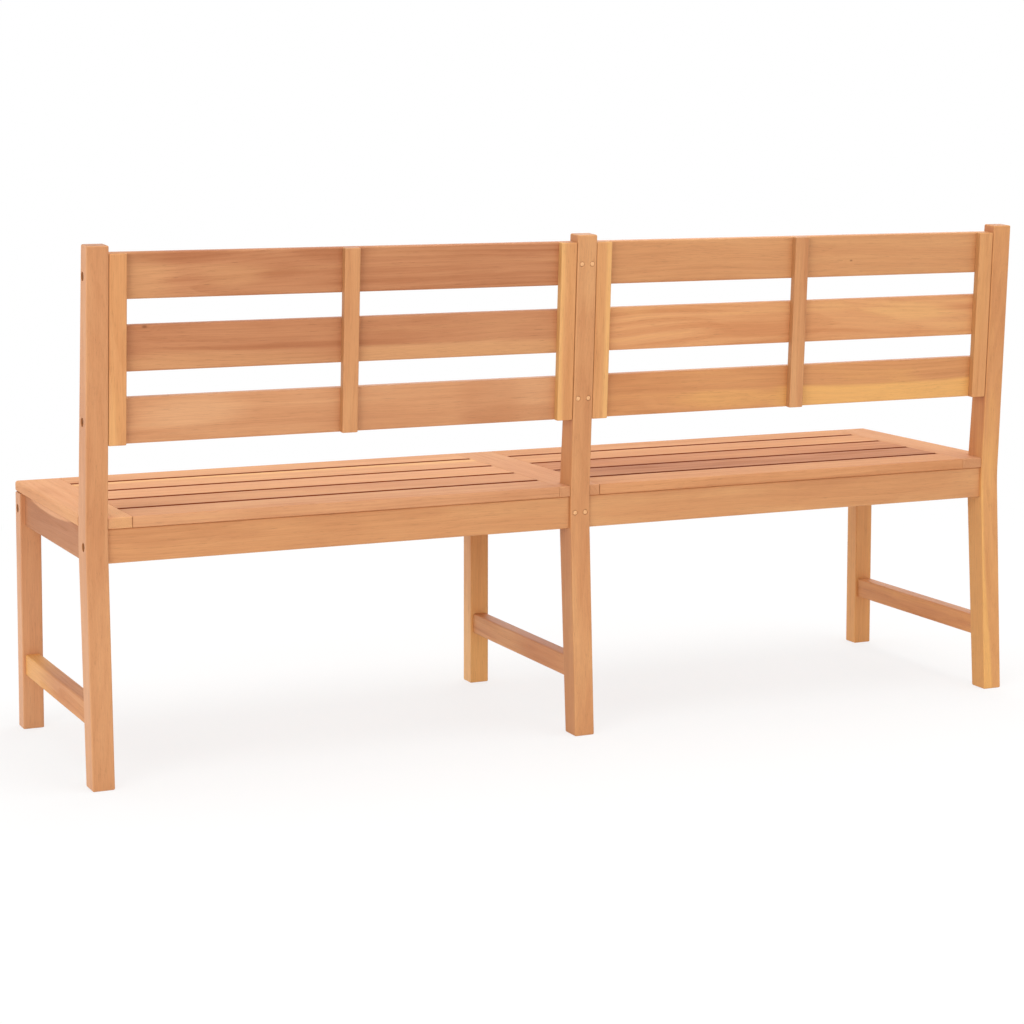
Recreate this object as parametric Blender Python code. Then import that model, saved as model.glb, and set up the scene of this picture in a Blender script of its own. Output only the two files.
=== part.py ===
"""Two-bay teak garden bench: three leg frames, four aprons, a slatted seat and two slatted backs.

Metres, +Z up. X runs along the bench, the sitter faces -Y and has +X on the left hand. The origin is on
the ground under the middle of the bench. Every piece of wood, every bolt and every peg is one object.
"""
import math
from collections import namedtuple

import bmesh
import bpy
from mathutils import Matrix, Vector

# Bench
LENGTH = 1.800
TOTAL_HEIGHT = 0.8973
SEAT_HEIGHT = 0.448

# Clearance between pieces that touch, depth of solids that are joined or cut, and eased edges
FIT_GAP = 0.0003
ROOT = 0.006
EDGE_CHAMFER = 0.002
SHARP_ANGLE = math.radians(30)

# Leg frames: a straight front leg and a rear post that is bent below the seat
FRAME_THICKNESS = 0.038
FRONT_LEG_DEPTH = 0.035
POST_FOOT_DEPTH = 0.0415
POST_BEND_DEPTH = 0.0485
POST_HEAD_DEPTH = 0.0335
POST_BEND_HEIGHT = 0.412
POST_FOOT_SPLAY = 0.0232
POST_HEAD_RAKE = 0.027

# Side rails and stretchers of the frames
SIDE_RAIL_THICKNESS = 0.020
SIDE_RAIL_HEIGHT = 0.059
STRETCHER_THICKNESS = 0.0265
STRETCHER_HEIGHT = 0.038
STRETCHER_TOP = 0.1365
RAIL_TENON_THICKNESS = 0.009
RAIL_TENON_SHOULDER = 0.006
RAIL_TENON_IN_POST = 0.012
RAIL_TENON_WEB = 0.003

# Aprons, and the joints that they and the back slats have with the frames
APRON_THICKNESS = 0.021
APRON_HEIGHT = 0.0575
APRON_FRONT_SETBACK = 0.005
APRON_REAR_SETBACK = 0.0057
CENTRE_TENON_THICKNESS = 0.008
CENTRE_TENON_SHOULDER = 0.009
CENTRE_TENON_WEB = 0.002
HOUSING_DEPTH = 0.005

# Seat
SEAT_THICKNESS = 0.019
CROSS_BOARD_WIDTH = 0.080
FRONT_SLAT_WIDTH = 0.0784
SEAT_SLAT_WIDTH = 0.0933
REAR_SLAT_WIDTH = 0.0837
MIDDLE_SEAT_SLATS = 3
SEAT_SLAT_GAP = 0.007
SEAT_REAR_SETBACK = 0.001
NOTCH_CLEARANCE = 0.0005
TONGUE_THICKNESS = 0.007
TONGUE_SHOULDER = 0.010
TONGUE_TO_POST = 0.009
LEG_TENON_HEIGHT = 0.010
LEG_TENON_SHOULDER = 0.009
BATTEN_WIDTH = 0.045
BATTEN_HEIGHT = 0.019
BATTEN_TENON_LENGTH = 0.008
BATTEN_TENON_SHOULDER = 0.005

# Backs, measured in the plane of the posts' rear faces
BACK_SLAT_HEIGHT = 0.0766
BACK_SLAT_GAP = 0.0429
BACK_SLAT_THICKNESS = 0.019
HEAD_ABOVE_SLATS = 0.0133
END_STRIP_WIDTH = 0.0305
MIDDLE_STRIP_WIDTH = 0.0285
STRIP_THICKNESS = 0.0145
STRIP_SETBACK = 0.001
STRIP_HOUSING = 0.002

# Bolts with barrel nuts
BOLT_RADIUS = 0.003
BOLT_PAST_NUT = 0.008
BOLT_HEAD_RADIUS = 0.0065
BOLT_HEAD_LENGTH = 0.005
BOLT_IN_HEAD = 0.001
SOCKET_RADIUS = 0.0028
SOCKET_DEPTH = 0.0025
SOCKET_SIDES = 6
COUNTERBORE_RADIUS = 0.0075
COUNTERBORE_DEPTH = 0.008
NUT_RADIUS = 0.005
NUT_LENGTH = 0.012
APRON_NUT_DISTANCE = 0.030
ROUND_SIDES = 16

# Pegs: proud of the centre post's rear face, flush with the centre leg's front face
PEG_RADIUS = 0.0038
PEG_DEPTH_IN_POST = 0.028
PEG_DEPTH_IN_LEG = 0.022
PEG_PROUD = 0.0008
PEG_CHAMFER = 0.0008
PEG_FROM_SHOULDER = 0.009

# Finishes: colours of 255
Finish = namedtuple("Finish", "tone roughness metallic")
FRAME_TEAK = Finish((214, 153, 104), 0.55, 0.0)
APRON_TEAK = Finish((213, 154, 106), 0.55, 0.0)
SEAT_TEAK = Finish((226, 168, 126), 0.55, 0.0)
CROSS_BOARD_TEAK = Finish((232, 174, 130), 0.55, 0.0)
BACK_TEAK = {"left": Finish((203, 141, 99), 0.55, 0.0), "right": Finish((219, 155, 104), 0.55, 0.0)}
STRIP_TEAK = Finish((222, 160, 108), 0.55, 0.0)
PEG_TEAK = Finish((238, 190, 140), 0.5, 0.0)
STEEL = Finish((120, 114, 106), 0.4, 1.0)

# Heights and depths that follow
SUPPORT_TOP = SEAT_HEIGHT - SEAT_THICKNESS - FIT_GAP
SLAT_WIDTHS = [FRONT_SLAT_WIDTH] + [SEAT_SLAT_WIDTH] * MIDDLE_SEAT_SLATS + [REAR_SLAT_WIDTH]
SEAT_DEPTH = sum(SLAT_WIDTHS) + SEAT_SLAT_GAP * (len(SLAT_WIDTHS) - 1)
FRAME_DEPTH = SEAT_DEPTH + SEAT_REAR_SETBACK
RAKE = math.atan2(POST_HEAD_RAKE, TOTAL_HEIGHT - POST_BEND_HEIGHT)
HEAD_ALONG = (TOTAL_HEIGHT - POST_BEND_HEIGHT - POST_HEAD_DEPTH * math.sin(RAKE)) / math.cos(RAKE)
FRONT_Y = -(FRAME_DEPTH + max(POST_FOOT_SPLAY, HEAD_ALONG * math.sin(RAKE))) / 2
LEG_REAR_Y = FRONT_Y + FRONT_LEG_DEPTH
SEAT_REAR_Y = FRONT_Y + SEAT_DEPTH
BEND_REAR_Y = FRONT_Y + FRAME_DEPTH
BACK_PLANE = Matrix.Translation((0, BEND_REAR_Y, POST_BEND_HEIGHT)) @ Matrix.Rotation(-RAKE, 4, "X")

# Places along the bench: the middles of the frames, and the bays between them
FRAME_MIDDLE = (LENGTH - FRAME_THICKNESS) / 2
FRAMES = {"left": FRAME_MIDDLE, "centre": 0.0, "right": -FRAME_MIDDLE}
BAYS = {"left": 1, "right": -1}
BAY_INNER_X = FRAME_THICKNESS / 2
BAY_OUTER_X = LENGTH / 2 - FRAME_THICKNESS

# Sizes that follow from the pieces around them
CENTRE_TENON_LENGTH = FRAME_THICKNESS / 2 - CENTRE_TENON_WEB
TONGUE_LENGTH = (CROSS_BOARD_WIDTH - FRAME_THICKNESS) / 2 - TONGUE_TO_POST
SLAT_NUT_DISTANCE = FIT_GAP + END_STRIP_WIDTH / 2
RAIL_HEIGHTS = (SUPPORT_TOP - SIDE_RAIL_HEIGHT, SUPPORT_TOP)
STRETCHER_HEIGHTS = (STRETCHER_TOP - STRETCHER_HEIGHT, STRETCHER_TOP)
BACK_PLACES = ("top", "middle", "bottom")
PEGGED_PLACES = (BACK_PLACES[0], BACK_PLACES[-1])


def runs_along(edge, axis):
    """Whether an edge is parallel to the axis with this index."""
    direction = edge.verts[1].co - edge.verts[0].co
    return abs(direction[axis]) > direction.length * math.cos(SHARP_ANGLE)


def chamfer_edges(mesh, edges, width=EDGE_CHAMFER):
    """Cut these edges off at a slant."""
    bmesh.ops.bevel(mesh, geom=list(edges), offset=width, affect="EDGES")


class Box:
    """An upright box between two corners, given in either order."""

    def __init__(self, corner, opposite):
        self.low = Vector(map(min, corner, opposite))
        self.high = Vector(map(max, corner, opposite))
        self.middle = (self.low + self.high) / 2

    def solid(self):
        """The box as a mesh with square edges."""
        mesh = bmesh.new()
        size = Matrix.Diagonal((*(self.high - self.low), 1.0))
        bmesh.ops.create_cube(mesh, size=1.0, matrix=Matrix.Translation(self.middle) @ size)
        return mesh

    def hole(self):
        """The cutter that lets the box in, with the clearance all round."""
        gap = Vector((FIT_GAP, FIT_GAP, FIT_GAP))
        return Box(self.low - gap, self.high + gap).solid()

    def board(self, grain=None):
        """The box with eased edges: those along the grain's axis, or all of them without a grain."""
        mesh = self.solid()
        chamfer_edges(mesh, [edge for edge in mesh.edges if grain is None or runs_along(edge, grain)])
        return mesh


def prism(profile, x_low, x_high):
    """A solid with this outline of (y, z) points between two places along the bench."""
    mesh = bmesh.new()
    face = mesh.faces.new([mesh.verts.new((x_low, y, z)) for y, z in profile])
    extruded = bmesh.ops.extrude_face_region(mesh, geom=[face])["geom"]
    moved = [item for item in extruded if isinstance(item, bmesh.types.BMVert)]
    bmesh.ops.translate(mesh, verts=moved, vec=(x_high - x_low, 0, 0))
    bmesh.ops.recalc_face_normals(mesh, faces=mesh.faces)
    return mesh


def rod(radius, start, end, sides=ROUND_SIDES):
    """A round bar from one point to another."""
    mesh = bmesh.new()
    turn = (end - start).to_track_quat("Z", "Y").to_matrix().to_4x4()
    place = Matrix.Translation((start + end) / 2) @ turn
    bmesh.ops.create_cone(
        mesh, cap_ends=True, segments=sides, radius1=radius, radius2=radius,
        depth=(end - start).length, matrix=place)
    return mesh


def linear(tone):
    """Red, green and blue in a shader's linear values."""
    shares = [value / 255 for value in tone]
    return [share / 12.92 if share <= 0.04045 else ((share + 0.055) / 1.055) ** 2.4 for share in shares]


def add_material(name, finish):
    """A Principled material with this finish."""
    material = bpy.data.materials.new(name)
    material.use_nodes = True
    shader = material.node_tree.nodes["Principled BSDF"]
    shader.inputs["Base Color"].default_value = (*linear(finish.tone), 1.0)
    shader.inputs["Roughness"].default_value = finish.roughness
    shader.inputs["Metallic"].default_value = finish.metallic
    return material


def extent_middle(mesh):
    """The middle of a mesh's extent."""
    axes = [[vert.co[axis] for vert in mesh.verts] for axis in range(3)]
    return Vector([(min(places) + max(places)) / 2 for places in axes])


def add_object(name, solids, parent):
    """One object from one or more meshes, with its origin in their middle."""
    joined = bmesh.new()
    for solid in solids:
        shape = bpy.data.meshes.new(name)
        solid.to_mesh(shape)
        solid.free()
        joined.from_mesh(shape)
        bpy.data.meshes.remove(shape)
    origin = extent_middle(joined)
    bmesh.ops.translate(joined, verts=joined.verts, vec=-origin)
    mesh = bpy.data.meshes.new(name)
    joined.to_mesh(mesh)
    joined.free()
    mesh.shade_smooth()
    mesh.set_sharp_from_angle(angle=SHARP_ANGLE)
    item = bpy.data.objects.new(name, mesh)
    item.location = origin
    item.parent = parent
    bpy.context.scene.collection.objects.link(item)
    return item


def add_piece(name, body, finish, joined=(), cuts=(), parent=None):
    """A piece of the bench: its body, the tenons or heads joined to it, and what is cut out of it."""
    piece = add_object(name, [body], parent)
    piece.data.materials.append(add_material(name, finish))
    for operation, solids in (("UNION", joined), ("DIFFERENCE", cuts)):
        if not solids:
            continue
        helper = add_object(f"{name}.{operation.lower()}", solids, parent)
        helper.hide_render = True
        helper.display_type = "WIRE"
        modifier = piece.modifiers.new(operation.title(), "BOOLEAN")
        modifier.operation = operation
        modifier.solver = "EXACT"
        modifier.use_self = True
        modifier.object = helper


class Bar:
    """An apron or a back slat of one bay, with the joints at its two ends.

    It is tenoned and pegged into the centre frame, and housed in the end frame and bolted to it.
    """

    def __init__(self, side, body, nut_distance, nut_face_y, peg_y, peg_reach):
        """Take the body, the nut's distance from the end frame, the face that the nut is put in from,
        the Y of the peg's outer end and how far it reaches from there along Y.
        """
        self.side = side
        self.body = body
        self.nut_distance = nut_distance
        self.nut_face_y = nut_face_y
        self.peg_y = peg_y
        self.peg_reach = peg_reach

    def tenon(self):
        """The tenon in the centre frame."""
        low, high, middle = self.body.low, self.body.high, self.body.middle
        half = CENTRE_TENON_THICKNESS / 2
        tip = self.side * (BAY_INNER_X - CENTRE_TENON_LENGTH)
        root = self.side * (BAY_INNER_X + ROOT)
        return Box(
            (tip, middle.y - half, low.z + CENTRE_TENON_SHOULDER),
            (root, middle.y + half, high.z - CENTRE_TENON_SHOULDER))

    def bolt_points(self):
        """Along the bolt: the counterbore's mouth and floor, the nut's middle and the bolt's tip."""
        mouth = LENGTH / 2
        nut = BAY_OUTER_X - self.nut_distance
        places = (mouth, mouth - COUNTERBORE_DEPTH, nut, nut - BOLT_PAST_NUT)
        return [Vector((self.side * x, self.body.middle.y, self.body.middle.z)) for x in places]

    def bolt_hole(self):
        """The hole for the bolt, from inside the counterbore to past the bolt's tip."""
        mouth, floor, _, tip = self.bolt_points()
        inward = Vector((-self.side * FIT_GAP, 0, 0))
        return rod(BOLT_RADIUS + FIT_GAP, (mouth + floor) / 2, tip + inward)

    def counterbore(self):
        """The wide hole for the bolt's head."""
        mouth, floor, _, _ = self.bolt_points()
        return rod(COUNTERBORE_RADIUS, floor, mouth + Vector((self.side * ROOT, 0, 0)))

    def nut_ends(self):
        """The barrel nut's ends: the deeper one, then the one nearer to the face it is put in from."""
        nut = self.bolt_points()[2]
        half = math.copysign(NUT_LENGTH / 2, self.nut_face_y - nut.y)
        return nut - Vector((0, half, 0)), nut + Vector((0, half, 0))

    def nut_hole(self):
        """The blind hole for the barrel nut."""
        deep, near = self.nut_ends()
        outward = (near - deep).normalized()
        mouth = Vector((near.x, self.nut_face_y, near.z))
        return rod(NUT_RADIUS + FIT_GAP, deep - outward * FIT_GAP, mouth + outward * ROOT)

    def peg_ends(self):
        """The peg's outer and inner end."""
        x = self.side * (BAY_INNER_X - PEG_FROM_SHOULDER)
        z = self.body.middle.z
        return Vector((x, self.peg_y, z)), Vector((x, self.peg_y + self.peg_reach, z))

    def peg_hole(self):
        """The hole for the peg, open at its outer end."""
        outer, inner = self.peg_ends()
        inward = (inner - outer).normalized()
        return rod(PEG_RADIUS + FIT_GAP, outer - inward * ROOT, inner + inward * FIT_GAP)

    def own_cuts(self):
        """What is cut out of the bar for its bolt, its nut and its peg."""
        return [self.bolt_hole(), self.nut_hole(), self.peg_hole()]

    def frame_cuts(self, frame):
        """What is cut out of the leg or post of this frame for the bar."""
        if frame == "centre":
            return [self.tenon().hole(), self.peg_hole()]
        return [self.body.hole(), self.counterbore(), self.bolt_hole()]

    def add_bolt(self, name, parent=None):
        """The socket-head bolt, screwed into its barrel nut."""
        _, floor, _, tip = self.bolt_points()
        out = Vector((self.side, 0, 0))
        seat = floor + out * FIT_GAP
        top = seat + out * BOLT_HEAD_LENGTH
        shank = rod(BOLT_RADIUS, seat + out * BOLT_IN_HEAD, tip)
        joined = [rod(BOLT_HEAD_RADIUS, seat, top), rod(NUT_RADIUS, *self.nut_ends())]
        socket = rod(SOCKET_RADIUS, top - out * SOCKET_DEPTH, top + out * ROOT, SOCKET_SIDES)
        add_piece(name, shank, STEEL, joined, [socket], parent)

    def add_peg(self, name, parent=None):
        """The round peg through the tenon, with chamfered ends."""
        peg = rod(PEG_RADIUS, *self.peg_ends())
        caps = [face for face in peg.faces if len(face.verts) == ROUND_SIDES]
        chamfer_edges(peg, [edge for cap in caps for edge in cap.edges], PEG_CHAMFER)
        add_piece(name, peg, PEG_TEAK, parent=parent)


def post_profile():
    """The post's side view: (y, z) at the foot, the bend and the head, in front and then at the rear."""
    head_rear = BACK_PLANE @ Vector((0, 0, HEAD_ALONG))
    head_front = BACK_PLANE @ Vector((0, -POST_HEAD_DEPTH, HEAD_ALONG))
    foot_rear_y = BEND_REAR_Y + POST_FOOT_SPLAY
    front = [
        (foot_rear_y - POST_FOOT_DEPTH, 0.0),
        (BEND_REAR_Y - POST_BEND_DEPTH, POST_BEND_HEIGHT),
        (head_front.y, head_front.z)]
    rear = [(foot_rear_y, 0.0), (BEND_REAR_Y, POST_BEND_HEIGHT), (head_rear.y, head_rear.z)]
    return front, rear


def line_y(line, z):
    """Y at a height on a line through three (y, z) points, from the lowest up."""
    low, high = line[:2] if z < line[1][1] else line[1:]
    return low[0] + (high[0] - low[0]) * (z - low[1]) / (high[1] - low[1])


def post_front_y(z):
    """Y of the post's front face at a height."""
    return line_y(post_profile()[0], z)


def apron(side, place):
    """The front or rear apron of the bay on this side."""
    if place == "front":
        front_y = FRONT_Y + APRON_FRONT_SETBACK
        nut_face_y = front_y + APRON_THICKNESS
        peg_y, peg_reach = FRONT_Y, PEG_DEPTH_IN_LEG
    else:
        front_y = BEND_REAR_Y - APRON_REAR_SETBACK - APRON_THICKNESS
        nut_face_y = front_y
        peg_y = line_y(post_profile()[1], SUPPORT_TOP - APRON_HEIGHT / 2) + PEG_PROUD
        peg_reach = -PEG_PROUD - PEG_DEPTH_IN_POST
    body = Box(
        (side * (BAY_INNER_X + FIT_GAP), front_y, SUPPORT_TOP - APRON_HEIGHT),
        (side * (BAY_OUTER_X + HOUSING_DEPTH), front_y + APRON_THICKNESS, SUPPORT_TOP))
    return Bar(side, body, APRON_NUT_DISTANCE, nut_face_y, peg_y, peg_reach)


def back_slat(side, place):
    """A back slat of the bay on this side, in the back's plane."""
    drop = BACK_PLACES.index(place) * (BACK_SLAT_HEIGHT + BACK_SLAT_GAP)
    top = HEAD_ALONG - HEAD_ABOVE_SLATS - drop
    rear_y = STRIP_HOUSING - STRIP_SETBACK - STRIP_THICKNESS - FIT_GAP
    inner_x = BAY_INNER_X + FIT_GAP if place in PEGGED_PLACES else BAY_INNER_X - HOUSING_DEPTH
    body = Box(
        (side * inner_x, rear_y - BACK_SLAT_THICKNESS, top - BACK_SLAT_HEIGHT),
        (side * (BAY_OUTER_X + HOUSING_DEPTH), rear_y, top))
    return Bar(side, body, SLAT_NUT_DISTANCE, rear_y, PEG_PROUD, -PEG_PROUD - PEG_DEPTH_IN_POST)


def rail_tenons(x, heights):
    """The tenons of a frame's rail, in its front leg and in its rear post."""
    half = RAIL_TENON_THICKNESS / 2
    low = heights[0] + RAIL_TENON_SHOULDER
    high = heights[1] - RAIL_TENON_SHOULDER
    apron_middle_y = FRONT_Y + APRON_FRONT_SETBACK + APRON_THICKNESS / 2
    leg_end_y = apron_middle_y + CENTRE_TENON_THICKNESS / 2 + RAIL_TENON_WEB
    post_y = max(post_front_y(low), post_front_y(high))
    return {
        "leg": Box((x - half, leg_end_y, low), (x + half, LEG_REAR_Y + ROOT, high)),
        "post": Box((x - half, post_y - ROOT, low), (x + half, post_y + RAIL_TENON_IN_POST, high)),
    }


def rail_mortises(x, end):
    """The mortises for the side rail and the stretcher, in the leg or in the post."""
    return [rail_tenons(x, heights)[end].hole() for heights in (RAIL_HEIGHTS, STRETCHER_HEIGHTS)]


def bays_of(frame):
    """The sides of the bays that meet a frame."""
    return BAYS.values() if frame == "centre" else [BAYS[frame]]


def leg_tenon(x):
    """The stub tenon on top of a front leg, in the cross board above."""
    half = FRAME_THICKNESS / 2 - LEG_TENON_SHOULDER
    return Box(
        (x - half, FRONT_Y + LEG_TENON_SHOULDER, SUPPORT_TOP - ROOT),
        (x + half, LEG_REAR_Y - LEG_TENON_SHOULDER, SUPPORT_TOP + LEG_TENON_HEIGHT))


def add_front_leg(frame, x):
    """A front leg, mortised for its frame's rails and cut for the front aprons."""
    half = FRAME_THICKNESS / 2
    body = Box((x - half, FRONT_Y, 0), (x + half, LEG_REAR_Y, SUPPORT_TOP))
    cuts = rail_mortises(x, "leg")
    for side in bays_of(frame):
        cuts += apron(side, "front").frame_cuts(frame)
    add_piece(f"front_leg_{frame}", body.board(), FRAME_TEAK, [leg_tenon(x).solid()], cuts)


def back_cuts(frame, side):
    """What is cut out of a post for the back slats of one bay."""
    cuts = []
    for place in BACK_PLACES:
        slat = back_slat(side, place)
        cuts += slat.frame_cuts(frame) if place in PEGGED_PLACES else [slat.body.hole()]
    for cut in cuts:
        cut.transform(BACK_PLANE)
    return cuts


def add_rear_post(frame, x):
    """A rear post, mortised for its frame's rails and cut for the rear aprons and the backs."""
    front, rear = post_profile()
    half = FRAME_THICKNESS / 2
    body = prism(front + rear[::-1], x - half, x + half)
    chamfer_edges(body, [edge for edge in body.edges if edge.calc_face_angle() > SHARP_ANGLE])
    cuts = rail_mortises(x, "post")
    for side in bays_of(frame):
        cuts += apron(side, "rear").frame_cuts(frame)
        cuts += back_cuts(frame, side)
    add_piece(f"rear_post_{frame}", body, FRAME_TEAK, cuts=cuts)


def add_rail(name, x, thickness, heights):
    """A side rail or a stretcher: its rear end follows the post's front face."""
    levels = list(heights)
    if heights[0] < POST_BEND_HEIGHT < heights[1]:
        levels.insert(1, POST_BEND_HEIGHT)
    start_y = LEG_REAR_Y + FIT_GAP
    outline = [(start_y, heights[1]), (start_y, heights[0])]
    outline += [(post_front_y(z) - FIT_GAP, z) for z in levels]
    body = prism(outline, x - thickness / 2, x + thickness / 2)
    chamfer_edges(body, [edge for edge in body.edges if runs_along(edge, 1)])
    tenons = [tenon.solid() for tenon in rail_tenons(x, heights).values()]
    add_piece(name, body, FRAME_TEAK, tenons)


def batten_box(side):
    """A batten's body between the aprons, under the middle of a bay's seat slats."""
    middle = side * (BAY_INNER_X + BAY_OUTER_X) / 2
    front_y = apron(side, "front").body.high.y + FIT_GAP
    rear_y = apron(side, "rear").body.low.y - FIT_GAP
    half = BATTEN_WIDTH / 2
    return Box((middle - half, front_y, SUPPORT_TOP - BATTEN_HEIGHT), (middle + half, rear_y, SUPPORT_TOP))


def batten_tenons(side):
    """The batten's tenons, in the front and in the rear apron."""
    body = batten_box(side)
    shoulder = Vector((BATTEN_TENON_SHOULDER, 0, BATTEN_TENON_SHOULDER))
    low = body.low + shoulder
    high = body.high - shoulder
    return {
        "front": Box((low.x, low.y - BATTEN_TENON_LENGTH, low.z), (high.x, low.y + ROOT, high.z)),
        "rear": Box((low.x, high.y - ROOT, low.z), (high.x, high.y + BATTEN_TENON_LENGTH, high.z)),
    }


def seat_slat_boxes(side):
    """The seat slats of a bay, from the front to the rear."""
    inner_x = side * (CROSS_BOARD_WIDTH / 2 + FIT_GAP)
    outer_x = side * (LENGTH / 2 - CROSS_BOARD_WIDTH - FIT_GAP)
    boxes = []
    y = FRONT_Y
    for width in SLAT_WIDTHS:
        boxes.append(Box((inner_x, y, SEAT_HEIGHT - SEAT_THICKNESS), (outer_x, y + width, SEAT_HEIGHT)))
        y += width + SEAT_SLAT_GAP
    return boxes


def slat_tongues(slat):
    """The tongues at a seat slat's two ends."""
    half = TONGUE_THICKNESS / 2
    low = Vector((slat.low.x, slat.low.y + TONGUE_SHOULDER, slat.middle.z - half))
    high = Vector((slat.high.x, slat.high.y - TONGUE_SHOULDER, slat.middle.z + half))
    return [
        Box((low.x - TONGUE_LENGTH, low.y, low.z), (low.x + ROOT, high.y, high.z)),
        Box((high.x - ROOT, low.y, low.z), (high.x + TONGUE_LENGTH, high.y, high.z)),
    ]


def cross_board_box(frame):
    """A cross board's body, over a frame and flush with the bench's end at an end frame."""
    half = CROSS_BOARD_WIDTH / 2
    middle = 0.0 if frame == "centre" else BAYS[frame] * (LENGTH / 2 - half)
    return Box(
        (middle - half, FRONT_Y, SEAT_HEIGHT - SEAT_THICKNESS), (middle + half, SEAT_REAR_Y, SEAT_HEIGHT))


def post_notch(frame, x):
    """The notch round the post, open at the rear and also at the end of the bench."""
    half = FRAME_THICKNESS / 2 + NOTCH_CLEARANCE
    bottom = SEAT_HEIGHT - SEAT_THICKNESS
    inner_x = x - half if frame == "centre" else x - BAYS[frame] * half
    outer_x = x + half if frame == "centre" else x + BAYS[frame] * (half + ROOT)
    return Box(
        (inner_x, post_front_y(bottom) - NOTCH_CLEARANCE, bottom - ROOT),
        (outer_x, SEAT_REAR_Y + ROOT, SEAT_HEIGHT + ROOT))


def add_cross_board(frame, x):
    """A seat board over a frame, notched round the post and mortised for the slats and the leg."""
    body = cross_board_box(frame)
    cuts = [post_notch(frame, x).solid(), leg_tenon(x).hole()]
    for side in bays_of(frame):
        for slat in seat_slat_boxes(side):
            tongues = slat_tongues(slat)
            cuts += [tongue.hole() for tongue in tongues if body.low.x < tongue.middle.x < body.high.x]
    add_piece(f"seat_cross_board_{frame}", body.board(), CROSS_BOARD_TEAK, cuts=cuts)


def add_frame(frame, x):
    """A leg frame with the seat's cross board on it."""
    add_front_leg(frame, x)
    add_rear_post(frame, x)
    add_rail(f"side_rail_{frame}", x, SIDE_RAIL_THICKNESS, RAIL_HEIGHTS)
    add_rail(f"stretcher_{frame}", x, STRETCHER_THICKNESS, STRETCHER_HEIGHTS)
    add_cross_board(frame, x)


def add_seat(bay, side):
    """The aprons, the batten and the slats of one bay, with the aprons' bolts and pegs."""
    tenons = batten_tenons(side)
    for place in ("front", "rear"):
        bar = apron(side, place)
        cuts = bar.own_cuts() + [tenons[place].hole()]
        add_piece(f"{place}_apron_{bay}", bar.body.board(0), APRON_TEAK, [bar.tenon().solid()], cuts)
        bar.add_bolt(f"bolt_{bay}_{place}_apron")
        bar.add_peg(f"peg_{bay}_{place}_apron")
    joined = [tenon.solid() for tenon in tenons.values()]
    add_piece(f"seat_batten_{bay}", batten_box(side).board(1), APRON_TEAK, joined)
    for number, slat in enumerate(seat_slat_boxes(side), start=1):
        tongues = [tongue.solid() for tongue in slat_tongues(slat)]
        add_piece(f"seat_slat_{bay}_{number}", slat.board(0), SEAT_TEAK, tongues)


def add_strip(name, side, middle, width, plane):
    """An upright strip behind a bay's back slats, with each slat let a little into it."""
    slats = [back_slat(side, place).body for place in BACK_PLACES]
    x = side * middle
    body = Box(
        (x - width / 2, -STRIP_SETBACK - STRIP_THICKNESS, slats[-1].low.z),
        (x + width / 2, -STRIP_SETBACK, slats[0].high.z))
    add_piece(name, body.board(), STRIP_TEAK, cuts=[slat.hole() for slat in slats], parent=plane)


def add_back(bay, side, plane):
    """The slats and strips of one bay's back, with the bolts and pegs of its top and bottom slat."""
    for place in BACK_PLACES:
        bar = back_slat(side, place)
        pegged = place in PEGGED_PLACES
        tenons = [bar.tenon().solid()] if pegged else []
        cuts = bar.own_cuts() if pegged else []
        add_piece(f"back_slat_{bay}_{place}", bar.body.board(0), BACK_TEAK[bay], tenons, cuts, plane)
        if pegged:
            bar.add_bolt(f"bolt_{bay}_back_{place}", plane)
            bar.add_peg(f"peg_{bay}_back_{place}", plane)
    end_x = FIT_GAP + END_STRIP_WIDTH / 2
    middle_x = (BAY_INNER_X + BAY_OUTER_X) / 2
    add_strip(f"back_strip_{bay}_inner", side, BAY_INNER_X + end_x, END_STRIP_WIDTH, plane)
    add_strip(f"back_strip_{bay}_middle", side, middle_x, MIDDLE_STRIP_WIDTH, plane)
    add_strip(f"back_strip_{bay}_outer", side, BAY_OUTER_X - end_x, END_STRIP_WIDTH, plane)


def build_bench():
    """All pieces of the bench."""
    for item in list(bpy.data.objects):
        bpy.data.objects.remove(item, do_unlink=True)
    plane = bpy.data.objects.new("back_plane", None)
    plane.matrix_world = BACK_PLANE
    bpy.context.scene.collection.objects.link(plane)
    for frame, x in FRAMES.items():
        add_frame(frame, x)
    for bay, side in BAYS.items():
        add_seat(bay, side)
        add_back(bay, side, plane)


build_bench()
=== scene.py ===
"""The two-bay teak garden bench with its looks: boards with eased edges and teak figure, bolts, pegs, studio.

Metres, +Z up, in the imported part's own frame: X runs along the bench, the sitter faces -Y and has +X on the
left hand. Every board, bolt and peg is a piece of its own that stands for the part's node of that name.
"""

import logging
import math
import random
from collections.abc import Iterable, Sequence
from dataclasses import dataclass, field
from enum import Enum

import bmesh
import bpy
from bmesh.types import BMEdge, BMesh, BMVert
from mathutils import Matrix, Vector

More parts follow.
